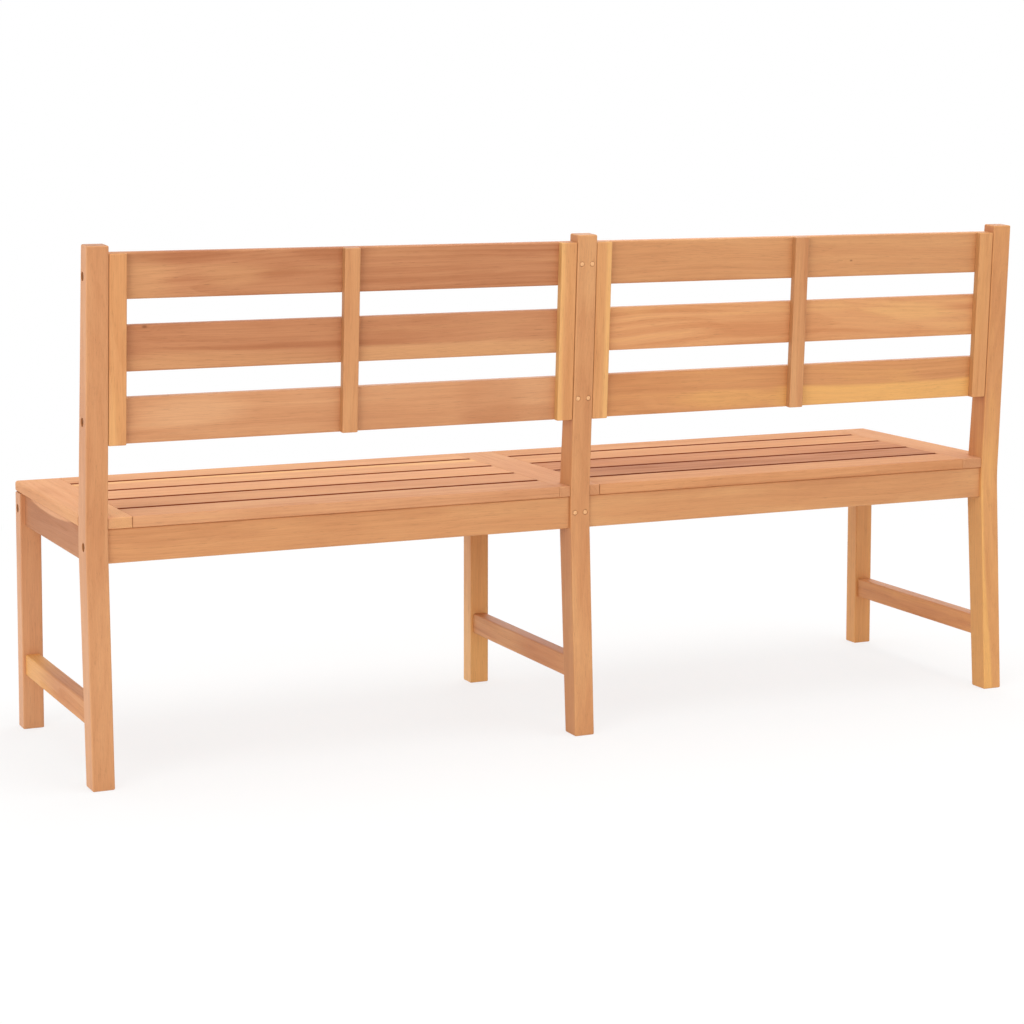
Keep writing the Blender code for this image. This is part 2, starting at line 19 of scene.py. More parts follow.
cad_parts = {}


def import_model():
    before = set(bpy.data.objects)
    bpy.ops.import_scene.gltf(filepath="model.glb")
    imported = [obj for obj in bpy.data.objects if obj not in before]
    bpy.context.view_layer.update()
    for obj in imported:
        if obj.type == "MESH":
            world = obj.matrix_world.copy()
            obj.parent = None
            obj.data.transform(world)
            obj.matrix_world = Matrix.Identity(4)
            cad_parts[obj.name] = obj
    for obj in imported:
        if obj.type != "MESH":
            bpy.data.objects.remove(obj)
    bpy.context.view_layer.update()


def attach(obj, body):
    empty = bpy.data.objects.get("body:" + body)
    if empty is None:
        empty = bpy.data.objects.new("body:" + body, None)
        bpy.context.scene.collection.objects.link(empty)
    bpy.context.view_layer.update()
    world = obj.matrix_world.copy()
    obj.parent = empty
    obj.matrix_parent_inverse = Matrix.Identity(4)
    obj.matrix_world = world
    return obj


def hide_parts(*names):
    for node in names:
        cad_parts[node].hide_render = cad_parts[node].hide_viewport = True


LOG = logging.getLogger("bench")
SHARP = math.radians(35)
SQUARE = math.radians(60)
FACES_END = 0.9
ROUND_SIDES = 32
ROUNDING_STEPS = 3
BEND_STEPS = 5
MERGE = 1e-6
SLIVER = 1e-5
CUT_PAST = 0.004

Tone = tuple[int, int, int]
Point = tuple[float, float]
Triple = tuple[float, float, float]
Colour = tuple[float, float, float, float]
Layer = tuple[Triple, float]

EVEN: Triple = (1.0, 1.0, 1.0)
WHITE: Colour = (1.0, 1.0, 1.0, 1.0)


# Layout

@dataclass(frozen=True)
class Layout:
    """Sizes that the sub-assemblies share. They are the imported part's own, in metres."""

    length: float = 1.800
    height: float = 0.8973
    seat_height: float = 0.448
    seat_thickness: float = 0.019
    stock: float = 0.038
    gap: float = 0.0003
    bend_height: float = 0.412
    head_rake: float = 0.027
    head_depth: float = 0.0335
    slat_widths: tuple[float, ...] = (0.0784, 0.0933, 0.0933, 0.0933, 0.0837)
    slat_gap: float = 0.007
    rear_setback: float = 0.001
    housing: float = 0.005

    @property
    def support_top(self) -> float:
        """Height of the rails and aprons that carry the seat."""
        return self.seat_height - self.seat_thickness - self.gap

    @property
    def rake(self) -> float:
        """Lean of the back, in radians."""
        return math.atan2(self.head_rake, self.height - self.bend_height)

    @property
    def head_along(self) -> float:
        """Distance from the posts' bend to their heads, along their rear faces."""
        rise = self.height - self.bend_height - self.head_depth * math.sin(self.rake)
        return rise / math.cos(self.rake)

    @property
    def seat_depth(self) -> float:
        """Depth of the seat, from its front edge to its rear one."""
        return sum(self.slat_widths) + self.slat_gap * (len(self.slat_widths) - 1)

    @property
    def front_y(self) -> float:
        """Y of the front faces of the legs and the seat."""
        return -(self.seat_depth + self.rear_setback + self.head_along * math.sin(self.rake)) / 2

    @property
    def bend_y(self) -> float:
        """Y of the posts' rear faces at their bend."""
        return self.front_y + self.seat_depth + self.rear_setback

    @property
    def back_plane(self) -> Matrix:
        """Place of the back: its XZ plane is the posts' rear faces above the bend."""
        return Matrix.Translation((0, self.bend_y, self.bend_height)) @ Matrix.Rotation(-self.rake, 4, "X")

    @property
    def bay(self) -> Point:
        """Distances from the middle of the bench at which a bay starts and ends."""
        return self.stock / 2, self.length / 2 - self.stock


LAYOUT = Layout()


class Named(Enum):
    """Members whose names are words in the names of the nodes."""

    @property
    def label(self) -> str:
        """The member's word."""
        return self.name.lower()


class Frame(Named):
    """The three leg frames, each with the X of its middle."""

    LEFT = (LAYOUT.length - LAYOUT.stock) / 2
    CENTRE = 0.0
    RIGHT = -(LAYOUT.length - LAYOUT.stock) / 2

    @property
    def bays(self) -> tuple["Bay", ...]:
        """The bays that meet the frame."""
        return tuple(Bay) if self is Frame.CENTRE else (Bay[self.name],)


class Bay(Named):
    """The two bays, each with its side along X."""

    LEFT = 1
    RIGHT = -1


class Grain(Enum):
    """Which way a board's fibres run, with the directions along, across and through the board."""

    LENGTHWISE = ((1, 0, 0), (0, 0, 1), (0, -1, 0))
    LENGTHWISE_FLAT = ((1, 0, 0), (0, 1, 0), (0, 0, 1))
    FRONT_TO_BACK = ((0, 1, 0), (0, 0, 1), (1, 0, 0))
    FRONT_TO_BACK_FLAT = ((0, 1, 0), (-1, 0, 0), (0, 0, 1))
    UPRIGHT = ((0, 0, 1), (1, 0, 0), (0, 1, 0))

    def place(self, middle: Vector) -> Matrix:
        """The board's own axes as columns, from its middle.

        Args:
            middle: the middle of the board.

        Returns:
            The matrix that takes a place on the board to a place in the part's frame.
        """
        turn = Matrix([Vector(axis) for axis in self.value]).transposed().to_4x4()
        return Matrix.Translation(middle) @ turn


# Mesh helpers

class Box:
    """An upright box between two corners, given in either order."""

    def __init__(self, corner: Sequence[float], opposite: Sequence[float]) -> None:
        """Sort the corners.

        Args:
            corner: one corner.
            opposite: the corner across the box from it.
        """
        self.low = Vector(map(min, corner, opposite))
        self.high = Vector(map(max, corner, opposite))
        self.middle = (self.low + self.high) / 2

    def solid(self, grow: float = 0.0) -> BMesh:
        """The box as a mesh with sharp edges, grown on all sides.

        Args:
            grow: how far each face moves out.

        Returns:
            A closed mesh.
        """
        mesh = bmesh.new()
        size = self.high - self.low + Vector((grow, grow, grow)) * 2
        place = Matrix.Translation(self.middle) @ Matrix.Diagonal((*size, 1.0))
        bmesh.ops.create_cube(mesh, size=1.0, matrix=place)
        return mesh


def prism(outline: Iterable[Point], x_low: float, x_high: float) -> BMesh:
    """A solid with a side view of (y, z) points, extruded along the bench.

    Args:
        outline: the points of the side view, in order.
        x_low: where it starts along X.
        x_high: where it ends along X.

    Returns:
        A closed mesh.
    """
    mesh = bmesh.new()
    face = mesh.faces.new([mesh.verts.new((x_low, y, z)) for y, z in outline])
    grown = bmesh.ops.extrude_face_region(mesh, geom=[face])["geom"]
    moved = [item for item in grown if isinstance(item, BMVert)]
    bmesh.ops.translate(mesh, verts=moved, vec=(x_high - x_low, 0, 0))
    bmesh.ops.recalc_face_normals(mesh, faces=mesh.faces)
    return mesh


def turned(profile: Iterable[Point], foot: Vector, axis: Vector, sides: int = ROUND_SIDES) -> BMesh:
    """A lathe-turned solid. Its profile starts and ends on the axis.

    Args:
        profile: (radius, distance along the axis) points.
        foot: the point on the axis at distance 0.
        axis: the direction of the axis.
        sides: how many steps the turn has.

    Returns:
        A closed mesh.
    """
    mesh = bmesh.new()
    verts = [mesh.verts.new((radius, 0, along)) for radius, along in profile]
    edges = [mesh.edges.new(pair) for pair in zip(verts, verts[1:])]
    bmesh.ops.spin(
        mesh, geom=verts + edges, cent=(0, 0, 0), axis=(0, 0, 1), angle=math.tau, steps=sides, use_merge=True)
    bmesh.ops.remove_doubles(mesh, verts=mesh.verts, dist=MERGE)
    bmesh.ops.recalc_face_normals(mesh, faces=mesh.faces)
    mesh.transform(Matrix.Translation(foot) @ axis.to_track_quat("Z", "Y").to_matrix().to_4x4())
    return mesh


def rod(radius: float, start: Vector, end: Vector, ease: float = 0.0, sides: int = ROUND_SIDES) -> BMesh:
    """A round bar from one point to another.

    Args:
        radius: its radius.
        start: the middle of one end.
        end: the middle of the other end.
        ease: the width of the chamfers at its ends.
        sides: how many sides it has.

    Returns:
        A closed mesh.
    """
    length = (end - start).length
    profile = [(0, 0), (radius - ease, 0), (radius, ease), (radius, length - ease), (radius - ease, length),
               (0, length)]
    return turned(dict.fromkeys(profile), start, end - start, sides)


def ease_edges(mesh: BMesh, edges: Iterable[BMEdge], radius: float) -> None:
    """Round edges over, and mark the rounding for the finish.

    Args:
        mesh: the mesh to change.
        edges: the edges that are rounded.
        radius: how far the rounding reaches from each edge.
    """
    mark = mesh.verts.layers.float.get("edge") or mesh.verts.layers.float.new("edge")
    made = bmesh.ops.bevel(
        mesh, geom=list(edges), offset=radius, offset_type="OFFSET", segments=ROUNDING_STEPS, profile=0.5,
        affect="EDGES", clamp_overlap=True, material=-1)
    rounding = set(made["faces"])
    for vert in made["verts"]:
        if vert.is_valid and all(face in rounding for face in vert.link_faces):
            vert[mark] = 1.0


def edges_along(mesh: BMesh, direction: Sequence[float]) -> list[BMEdge]:
    """The edges of a mesh that run about parallel to a direction.

    Args:
        mesh: the mesh.
        direction: the direction.

    Returns:
        The edges.
    """
    axis = Vector(direction).normalized()
    return [edge for edge in mesh.edges
            if abs((edge.verts[1].co - edge.verts[0].co).normalized().dot(axis)) > math.cos(SHARP)]


def frozen(mesh: BMesh, name: str) -> bpy.types.Mesh:
    """Mesh data from a mesh in the making, which is freed.

    Args:
        mesh: the mesh.
        name: the data's name.

    Returns:
        The data.
    """
    shape = bpy.data.meshes.new(name)
    mesh.to_mesh(shape)
    mesh.free()
    return shape


def linked(name: str, data: bpy.types.ID) -> bpy.types.Object:
    """A new object in the scene.

    Args:
        name: its name.
        data: its mesh, lamp or camera.

    Returns:
        The object.
    """
    item = bpy.data.objects.new(name, data)
    bpy.context.scene.collection.objects.link(item)
    return item


def join(meshes: Iterable[BMesh]) -> bpy.types.Mesh:
    """One mesh from several, which are freed.

    Args:
        meshes: the meshes.

    Returns:
        A new mesh that holds them all.
    """
    whole = bmesh.new()
    for mesh in meshes:
        part = frozen(mesh, "part")
        whole.from_mesh(part)
        bpy.data.meshes.remove(part)
    return frozen(whole, "joined")


def worked(body: BMesh, tools: Sequence[BMesh], operation: str = "DIFFERENCE") -> BMesh:
    """A body after solids are cut out of it or joined to it.

    Args:
        body: the mesh that is worked on. It is freed.
        tools: the solids, which are freed.
        operation: the Boolean operation.

    Returns:
        The new mesh.
    """
    if not tools:
        return body
    blank, tool = linked("blank", frozen(body, "blank")), linked("tool", join(tools))
    change = blank.modifiers.new("Work", "BOOLEAN")
    change.operation = operation
    change.solver = "EXACT"
    change.use_self = True
    change.object = tool
    graph = bpy.context.evaluated_depsgraph_get()
    result = bmesh.new()
    result.from_mesh(blank.evaluated_get(graph).to_mesh())
    for item in (blank, tool):
        shape = item.data
        bpy.data.objects.remove(item)
        bpy.data.meshes.remove(shape)
    bmesh.ops.dissolve_degenerate(result, dist=SLIVER, edges=result.edges)
    return result


# Shader nodes

class Wire:
    """A socket of a material. Arithmetic on value sockets adds Math nodes."""

    def __init__(self, nodes: "Nodes", socket: bpy.types.NodeSocket) -> None:
        """Wrap an output socket.

        Args:
            nodes: the nodes that it belongs to.
            socket: the output socket.
        """
        self.nodes = nodes
        self.socket = socket

    def _math(self, operation: str, *values: "Wire | float") -> "Wire":
        """A Math node on these values."""
        return self.nodes.add("ShaderNodeMath", {"operation": operation}, dict(enumerate(values)))

    def __add__(self, other: "Wire | float") -> "Wire":
        """The sum."""
        return self._math("ADD", self, other)

    def __sub__(self, other: "Wire | float") -> "Wire":
        """The difference."""
        return self._math("SUBTRACT", self, other)

    def __rsub__(self, other: float) -> "Wire":
        """The difference from a number."""
        return self._math("SUBTRACT", other, self)

    def __mul__(self, other: "Wire | float") -> "Wire":
        """The product."""
        return self._math("MULTIPLY", self, other)

    def __truediv__(self, other: "Wire | float") -> "Wire":
        """The quotient."""
        return self._math("DIVIDE", self, other)

    def __abs__(self) -> "Wire":
        """The size without its sign."""
        return self._math("ABSOLUTE", self)

    __radd__ = __add__
    __rmul__ = __mul__

    def raised(self, low: float) -> "Wire":
        """A value from 0 to 1, squeezed to run from a low value to 1."""
        return self * (1 - low) + low

    def fraction(self) -> "Wire":
        """What is left after the whole number."""
        return self._math("FRACT", self)

    def step(self, start: float, end: float) -> "Wire":
        """A smooth step.

        Args:
            start: the value at which the step is 0.
            end: the value at which the step is 1. It may be the smaller one.

        Returns:
            The step's height.
        """
        low, high, first, last = (start, end, 0.0, 1.0) if start < end else (end, start, 1.0, 0.0)
        return self.nodes.add(
            "ShaderNodeMapRange", {"interpolation_type": "SMOOTHSTEP"},
            {"Value": self, "From Min": low, "From Max": high, "To Min": first, "To Max": last})


class Nodes:
    """The nodes of one material or world."""

    coarse_share: float = 0.55

    def __init__(self, tree: bpy.types.NodeTree) -> None:
        """Start from an empty tree.

        Args:
            tree: the tree, which is cleared.
        """
        self.tree = tree
        tree.nodes.clear()

    def add(self, kind: str, settings: dict[str, object], sockets: dict[int | str, object],
            output: int | str = 0) -> Wire:
        """Add a node.

        Args:
            kind: the node's type.
            settings: its settings, which are set first.
            sockets: a value or a link for each input that is used.
            output: the output that is wanted.

        Returns:
            The output socket, wrapped.
        """
        node = self.tree.nodes.new(kind)
        for name, value in settings.items():
            setattr(node, name, value)
        for name, value in sockets.items():
            if isinstance(value, Wire):
                self.tree.links.new(value.socket, node.inputs[name])
            else:
                node.inputs[name].default_value = value
        return Wire(self, node.outputs[output]) if node.outputs else Wire(self, None)

    def vector(self, operation: str, first: object, second: object, output: int | str = 0) -> Wire:
        """A Vector Math node.

        Args:
            operation: what it does.
            first: the first vector.
            second: the second vector.
            output: the output that is wanted.

        Returns:
            The result.
        """
        return self.add("ShaderNodeVectorMath", {"operation": operation}, {0: first, 1: second}, output)

    def coordinate(self, kind: str) -> Wire:
        """A texture coordinate of the kind Object, Normal or Generated."""
        return self.add("ShaderNodeTexCoord", {}, {}, kind)

    def part(self, vector: Wire, axis: str) -> Wire:
        """A vector's number along the axis X, Y or Z."""
        return self.add("ShaderNodeSeparateXYZ", {}, {0: vector}, axis)

    def length(self, vector: Wire) -> Wire:
        """How long a vector is."""
        return self.vector("LENGTH", vector, (0, 0, 0), "Value")

    def mix(self, share: object, first: object, second: object, blend: str = "MIX") -> Wire:
        """A mix of two colours.

        Args:
            share: how much of the second.
            first: the first colour.
            second: the second colour.
            blend: the way they mix.

        Returns:
            The mixed colour.
        """
        return self.add(
            "ShaderNodeMix", {"data_type": "RGBA", "blend_type": blend, "clamp_factor": True},
            {0: share, 6: first, 7: second}, 2)

    def multiplied(self, share: Wire, colour: Wire, shade: Triple) -> Wire:
        """A colour, multiplied by a shade where the share is 1."""
        return self.mix(share, colour, (*shade, 1.0), "MULTIPLY")

    def noise(self, place: Wire, scale: Triple, detail: float, output: str = "Fac") -> Wire:
        """Noise that is stretched along the axes.

        Args:
            place: the coordinates.
            scale: how many features there are to a metre, for each axis.
            detail: how many finer layers it has.
            output: Fac or Color.

        Returns:
            The noise, from 0 to 1.
        """
        return self.add("ShaderNodeTexNoise", {}, {
            "Vector": self.vector("MULTIPLY", place, scale), "Scale": 1.0, "Detail": detail,
            "Roughness": self.coarse_share}, output)


def new_material(name: str) -> tuple[bpy.types.Material, Nodes]:
    """A material without nodes.

    Args:
        name: its name.

    Returns:
        The material, and its nodes to add to.
    """
    material = bpy.data.materials.new(name)
    material.use_nodes = True
    return material, Nodes(material.node_tree)


def linear(tone: Tone) -> Colour:
    """A written colour in a shader's linear values.

    Args:
        tone: red, green and blue out of 255.

    Returns:
        Red, green, blue and an alpha of 1.
    """
    shares = [value / 255 for value in tone]
    red, green, blue = (s / 12.92 if s <= 0.04045 else ((s + 0.055) / 1.055) ** 2.4 for s in shares)
    return red, green, blue, 1.0


# Finishes

@dataclass(frozen=True)
class Knot:
    """A small knot: where it is along and across its board from the middle, and its radius."""

    along: float
    across: float
    radius: float


class Shade(Enum):
    """Which of a wood's two other tones a patch takes."""

    HEART = "heart"
    SAP = "sap"


@dataclass(frozen=True)
class Patch:
    """A patch in a board: its middle along and across it, its reach both ways, its tone and its edge."""

    along: float
    across: float
    length: float
    width: float
    shade: Shade
    strength: float = 0.5
    softness: float = 0.4


@dataclass(frozen=True)
class Bore:
    """A hole along the bench, whose walls get painted shade: the Y and Z of its axis, and its radius."""

    y: float
    z: float
    radius: float


@dataclass(frozen=True)
class Figure:
    """What one board shows: the grain's rings, streaks, pale sapwood edge, patches and knots, and painted
    shade and light on its gap walls and its X faces.
    """

    ring_pitch: float = 0.0065
    pith_across: float = 0.02
    pith_through: float = -0.055
    arch: float = 0.035
    wave: float = 0.035
    streaks: float = 1.0
    sapwood: float = 0.0
    sapwood_end: float = 2.0
    sapwood_slope: float = 0.0
    patches: tuple[Patch, ...] = ()
    knots: tuple[Knot, ...] = ()
    # The sides of a seat slat that face a gap; their walls get a painted shadow.
    gap_sides: tuple[int, ...] = ()
    # A multiplier on the faces that look along X: painted light where it is above 1, painted shade where it
    # is below 1.
    side_tone: Triple = EVEN
    end_grain: float = 0.9


@dataclass(frozen=True)
class Layers:
    """Each layer of a board's noise: features to a metre along, across and through the board, and detail."""

    wander: Layer = (1.6, 5, 5), 1.5
    ring_wobble: Layer = (2.2, 28, 28), 3.0
    ring_strength: Layer = (1.1, 14, 14), 1.0
    streak: Layer = (1.5, 75, 75), 3.0
    fibre: Layer = (9, 620, 620), 2.0
    pore: Layer = (38, 1500, 1500), 1.0
    cloud: Layer = (3.2, 13, 13), 3.0


@dataclass(frozen=True)
class Steps:
    """Where each layer or face starts to show, and where it shows in full."""

    ring_rise: Point = (0.25, 0.93)
    ring_fall: Point = (1.0, 0.93)
    ring_strength: Point = (0.3, 0.7)
    pore: Point = (0.6, 0.72)
    dark_streak: Point = (0.42, 0.78)
    pale_streak: Point = (0.48, 0.22)
    dark_cloud: Point = (0.5, 0.75)
    pale_cloud: Point = (0.5, 0.25)
    fibre: Point = (0.35, 0.75)
    knot_bend: Point = (7, 1)
    knot: Point = (1.4, 0.3)
    end_grain: Point = (0.8, 0.97)
    side_face: Point = (0.6, 0.9)
    stain: Point = (0.45, 0.7)


@dataclass(frozen=True)
class Shares:
    """How much of each layer shows in a board's colour, and in its height and roughness."""

    streak: float = 0.62
    ring: float = 0.34
    pale_streak: float = 0.42
    cloud: float = 0.4
    fibre: float = 0.14
    pore: float = 0.3
    knot: float = 0.62
    # Paler rounded edges: partly wear, partly a painted highlight.
    worn_edge: float = 0.16
    fibre_height: float = 0.35
    ring_height: float = 0.25
    pore_depth: float = 0.6
    fibre_roughness: float = 0.16
    ring_roughness: float = 0.08


@dataclass(frozen=True)
class Shades:
    """Tones and shades that all boards share. A shade is what a colour is multiplied by."""

    knot: Tone = (112, 62, 34)
    fibre: float = 0.8
    pore: float = 0.55
    end_grain: Triple = (0.72, 0.64, 0.56)
    # gap: the painted shadow on the walls of the gaps between seat slats.
    gap: Triple = (0.3, 0.1, 0.02)
    # bore: the painted shade on the walls of the counterbores.
    bore: Triple = (0.8, 0.7, 0.6)


LAYERS = Layers()
STEPS = Steps()
SHARES = Shares()
SHADES = Shades()


class Drawing:
    """The figure on one board, as nodes: its coordinates, and layers that run from 0 to 1."""

    apart: float = 40
    faintest_ring: float = 0.3
    ring_wobble: float = 1.5
    early_pores: float = 0.5
    pith_aside: Point = (0.6, 1.4)
    pith_below: Point = (0.7, 1.3)
    knot_bend: float = 1.6
    knot_stretch: Triple = (0.55, 1, 0)
    ragged_streaks: float = 2.2
    ragged_clouds: float = 2.0
    patch_softness: float = 1.4
    # How far in from a slat's side the painted gap shadow starts, and where it is full.
    gap_depth: Point = (0.0050, 0.0016)
    bore_edge: float = 0.0005
    sapwood_edge: float = 0.004
    sapwood_fade: float = 0.04
    sapwood_streaks: float = 0.5

    def __init__(self, nodes: Nodes, board: "Board") -> None:
        """Draw the figure.

        Args:
            nodes: the material's nodes.
            board: the board.
        """
        self.nodes = nodes
        self.board = board
        chance = random.Random(board.node)
        own = board.place.inverted()
        self.straight = nodes.add("ShaderNodeMapping", {"vector_type": "POINT"}, {
            "Vector": nodes.coordinate("Object"), "Location": own.translation, "Rotation": own.to_euler()})
        offset = tuple(chance.uniform(-self.apart, self.apart) for _ in range(3))
        moved = nodes.vector("ADD", self.straight, offset)
        wander = nodes.vector("SUBTRACT", nodes.noise(moved, *LAYERS.wander, "Color"), (0.5, 0.5, 0.5))
        bend = nodes.vector("MULTIPLY", wander, (0, board.figure.wave, board.figure.wave))
        self.shifted = nodes.vector("ADD", moved, bend)
        self.place = nodes.vector("SUBTRACT", self.shifted, offset)
        late = self._late_wood(chance)
        strength = nodes.noise(self.shifted, *LAYERS.ring_strength).step(*STEPS.ring_strength)
        self.rings = late * strength.raised(self.faintest_ring)
        self.streak = nodes.noise(self.shifted, *LAYERS.streak)
        self.fibre = nodes.noise(self.shifted, *LAYERS.fibre)
        pores = nodes.noise(self.shifted, *LAYERS.pore).step(*STEPS.pore)
        self.pores = pores * late.raised(self.early_pores)
        self.cloud = nodes.noise(self.shifted, *LAYERS.cloud)

    def _late_wood(self, chance: random.Random) -> Wire:
        """The dark bands of the growth rings, which bend round the board's knots.

        Args:
            chance: the board's own random numbers.

        Returns:
            A value from 0 to 1.
        """
        figure, nodes = self.board.figure, self.nodes
        across = figure.pith_across * chance.choice((-1, 1)) * chance.uniform(*self.pith_aside)
        along = chance.uniform(-0.5, 0.5) * self.board.reach
        pith = (along, across, figure.pith_through * chance.uniform(*self.pith_below))
        from_pith = nodes.vector("SUBTRACT", self.place, pith)
        distance = nodes.length(nodes.vector("MULTIPLY", from_pith, (figure.arch, 1, 1)))
        for knot in figure.knots:
            distance = distance + self.near(knot, STEPS.knot_bend) * (figure.ring_pitch * self.knot_bend)
        wobble = nodes.noise(self.shifted, *LAYERS.ring_wobble) - 0.5
        distance = distance + wobble * (figure.ring_pitch * self.ring_wobble)
        ring = (distance / figure.ring_pitch).fraction()
        return ring.step(*STEPS.ring_rise) * ring.step(*STEPS.ring_fall)

    def near(self, knot: Knot, step: Point) -> Wire:
        """Where a knot is near. It is longer along the grain.

        Args:
            knot: the knot.
            step: the distances at which this is 0 and 1, in the knot's radii.

        Returns:
            A value from 0 to 1.
        """
        away = self.nodes.vector("SUBTRACT", self.place, (knot.along, knot.across, 0))
        distance = self.nodes.length(self.nodes.vector("MULTIPLY", away, self.knot_stretch))
        return distance.step(*(knot.radius * radii for radii in step))

    def patch(self, patch: Patch) -> Wire:
        """Where a patch is, with an edge as ragged as the grain.

        Args:
            patch: the patch.

        Returns:
            A value from 0 to the patch's strength.
        """
        nodes, soft = self.nodes, patch.softness
        away = nodes.vector("SUBTRACT", self.place, (patch.along, patch.across, 0))
        scaled = nodes.vector("MULTIPLY", away, (1 / patch.length, 1 / patch.width, 0))
        ragged = (self.streak - 0.5) * self.ragged_streaks + (self.cloud - 0.5) * self.ragged_clouds
        distance = nodes.length(scaled) + ragged * soft
        return distance.step(1 + soft, 1 - soft * self.patch_softness) * patch.strength

    def sapwood(self) -> Wire:
        """Where the board's pale sapwood edge is, from 0 to 1."""
        figure = self.board.figure
        along, across = self.nodes.part(self.place, "X"), self.nodes.part(self.place, "Y")
        side = math.copysign(1.0, figure.sapwood)
        start, end = self.board.width / 2 - abs(figure.sapwood), figure.sapwood_end
        edge = ((across - along * figure.sapwood_slope) * side).step(
            start - self.sapwood_edge, start + self.sapwood_edge)
        within = along.step(end + self.sapwood_fade, end - self.sapwood_fade)
        return edge * within * self.streak.raised(self.sapwood_streaks)

    def end_grain(self) -> Wire:
        """Where the board's sawn ends are, from 0 to 1."""
        grain = tuple(self.board.place.to_3x3().col[0])
        facing = self.nodes.vector("DOT_PRODUCT", self.nodes.coordinate("Normal"), grain, "Value")
        return abs(facing).step(*STEPS.end_grain)

    def shade(self, colour: Wire) -> Wire:
        """Paint shade and light into the colour: shadow on the walls of gaps and bores, and light or shade on
        the faces that look along X.

        Args:
            colour: the colour so far.

        Returns:
            The colour.
        """
        nodes, board = self.nodes, self.board
        deep, shallow = (board.width / 2 - depth for depth in self.gap_depth)
        # Painted shadow on the slat walls that face a gap.
        for side in board.figure.gap_sides:
            shaded_wall = (nodes.part(self.straight, "Y") * side).step(deep, shallow)
            colour = nodes.multiplied(shaded_wall, colour, SHADES.gap)
        # Painted light and shade on the faces that look along X.
        if board.figure.side_tone != EVEN:
            sideways = abs(nodes.part(nodes.coordinate("Normal"), "X")).step(*STEPS.side_face)
            colour = nodes.multiplied(sideways, colour, board.figure.side_tone)
        # Painted shade on the walls of the counterbores.
        for bore in board.bores:
            away = nodes.vector("SUBTRACT", nodes.coordinate("Object"), (0, bore.y, bore.z))
            distance = nodes.length(nodes.vector("MULTIPLY", away, (0, 1, 1)))
            shaded_wall = distance.step(bore.radius + self.bore_edge, bore.radius)
            colour = nodes.multiplied(shaded_wall, colour, SHADES.bore)
        return colour


@dataclass(frozen=True)
class Teak:
    """A teak finish: the tones of its body, of its dark streaks and of its sapwood, and how it is sanded."""

    body: Tone
    heart: Tone
    sap: Tone
    roughness: float = 0.46
    gloss: float = 0.25
    refraction: float = 1.45
    bump: float = 0.5
    relief: float = 0.00025

    def material(self, board: "Board") -> bpy.types.Material:
        """The finish on one board, with that board's own figure.

        Args:
            board: the board.

        Returns:
            A material of its own.
        """
        material, nodes = new_material(f"{board.piece_name}_teak")
        drawing = Drawing(nodes, board)
        rings, fibre = drawing.rings, drawing.fibre
        raised = fibre * SHARES.fibre_height + rings * SHARES.ring_height
        rough = fibre * SHARES.fibre_roughness + rings * SHARES.ring_roughness + self.roughness
        bump = nodes.add("ShaderNodeBump", {}, {
            "Strength": self.bump, "Distance": self.relief,
            "Height": raised - drawing.pores * SHARES.pore_depth})
        shader = nodes.add("ShaderNodeBsdfPrincipled", {}, {
            "Base Color": self._colour(drawing), "Normal": bump, "IOR": self.refraction,
            "Specular IOR Level": self.gloss, "Roughness": rough})
        nodes.add("ShaderNodeOutputMaterial", {}, {"Surface": shader})
        return material

    def _colour(self, drawing: Drawing) -> Wire:
        """The colour over a board.

        Args:
            drawing: the board's figure.

        Returns:
            The colour.
        """
        nodes, figure, streak, cloud = drawing.nodes, drawing.board.figure, drawing.streak, drawing.cloud
        body, heart, sap = (linear(tone) for tone in (self.body, self.heart, self.sap))
        dark = streak.step(*STEPS.dark_streak) * (SHARES.streak * figure.streaks)
        pale = streak.step(*STEPS.pale_streak) * (SHARES.pale_streak * figure.streaks)
        colour = nodes.mix(dark + drawing.rings * (SHARES.ring * figure.streaks), body, heart)
        colour = nodes.mix(pale, colour, sap)
        colour = nodes.mix(cloud.step(*STEPS.dark_cloud) * SHARES.cloud, colour, heart)
        colour = nodes.mix(cloud.step(*STEPS.pale_cloud) * SHARES.cloud, colour, sap)
        for patch in figure.patches:
            colour = nodes.mix(drawing.patch(patch), colour, heart if patch.shade is Shade.HEART else sap)
        if figure.sapwood:
            colour = nodes.mix(drawing.sapwood(), colour, sap)
        fibre = drawing.fibre.step(*STEPS.fibre) * SHARES.fibre
        colour = nodes.mix(fibre, colour, self._dark(SHADES.fibre))
        colour = nodes.mix(drawing.pores * SHARES.pore, colour, self._dark(SHADES.pore))
        for knot in figure.knots:
            colour = nodes.mix(drawing.near(knot, STEPS.knot) * SHARES.knot, colour, linear(SHADES.knot))
        # The rounded edges turn paler: partly wear, partly a painted highlight where they catch the light.
        worn_and_lit_edge = nodes.add("ShaderNodeAttribute", {"attribute_name": "edge"}, {}, "Fac")
        colour = nodes.mix(worn_and_lit_edge * SHARES.worn_edge, colour, sap)
        colour = nodes.multiplied(drawing.end_grain() * figure.end_grain, colour, SHADES.end_grain)
        return drawing.shade(colour)

    def _dark(self, share: float) -> Colour:
        """The tone of the dark streaks, darkened to a share of it."""
        return linear(tuple(round(value * share) for value in self.heart))


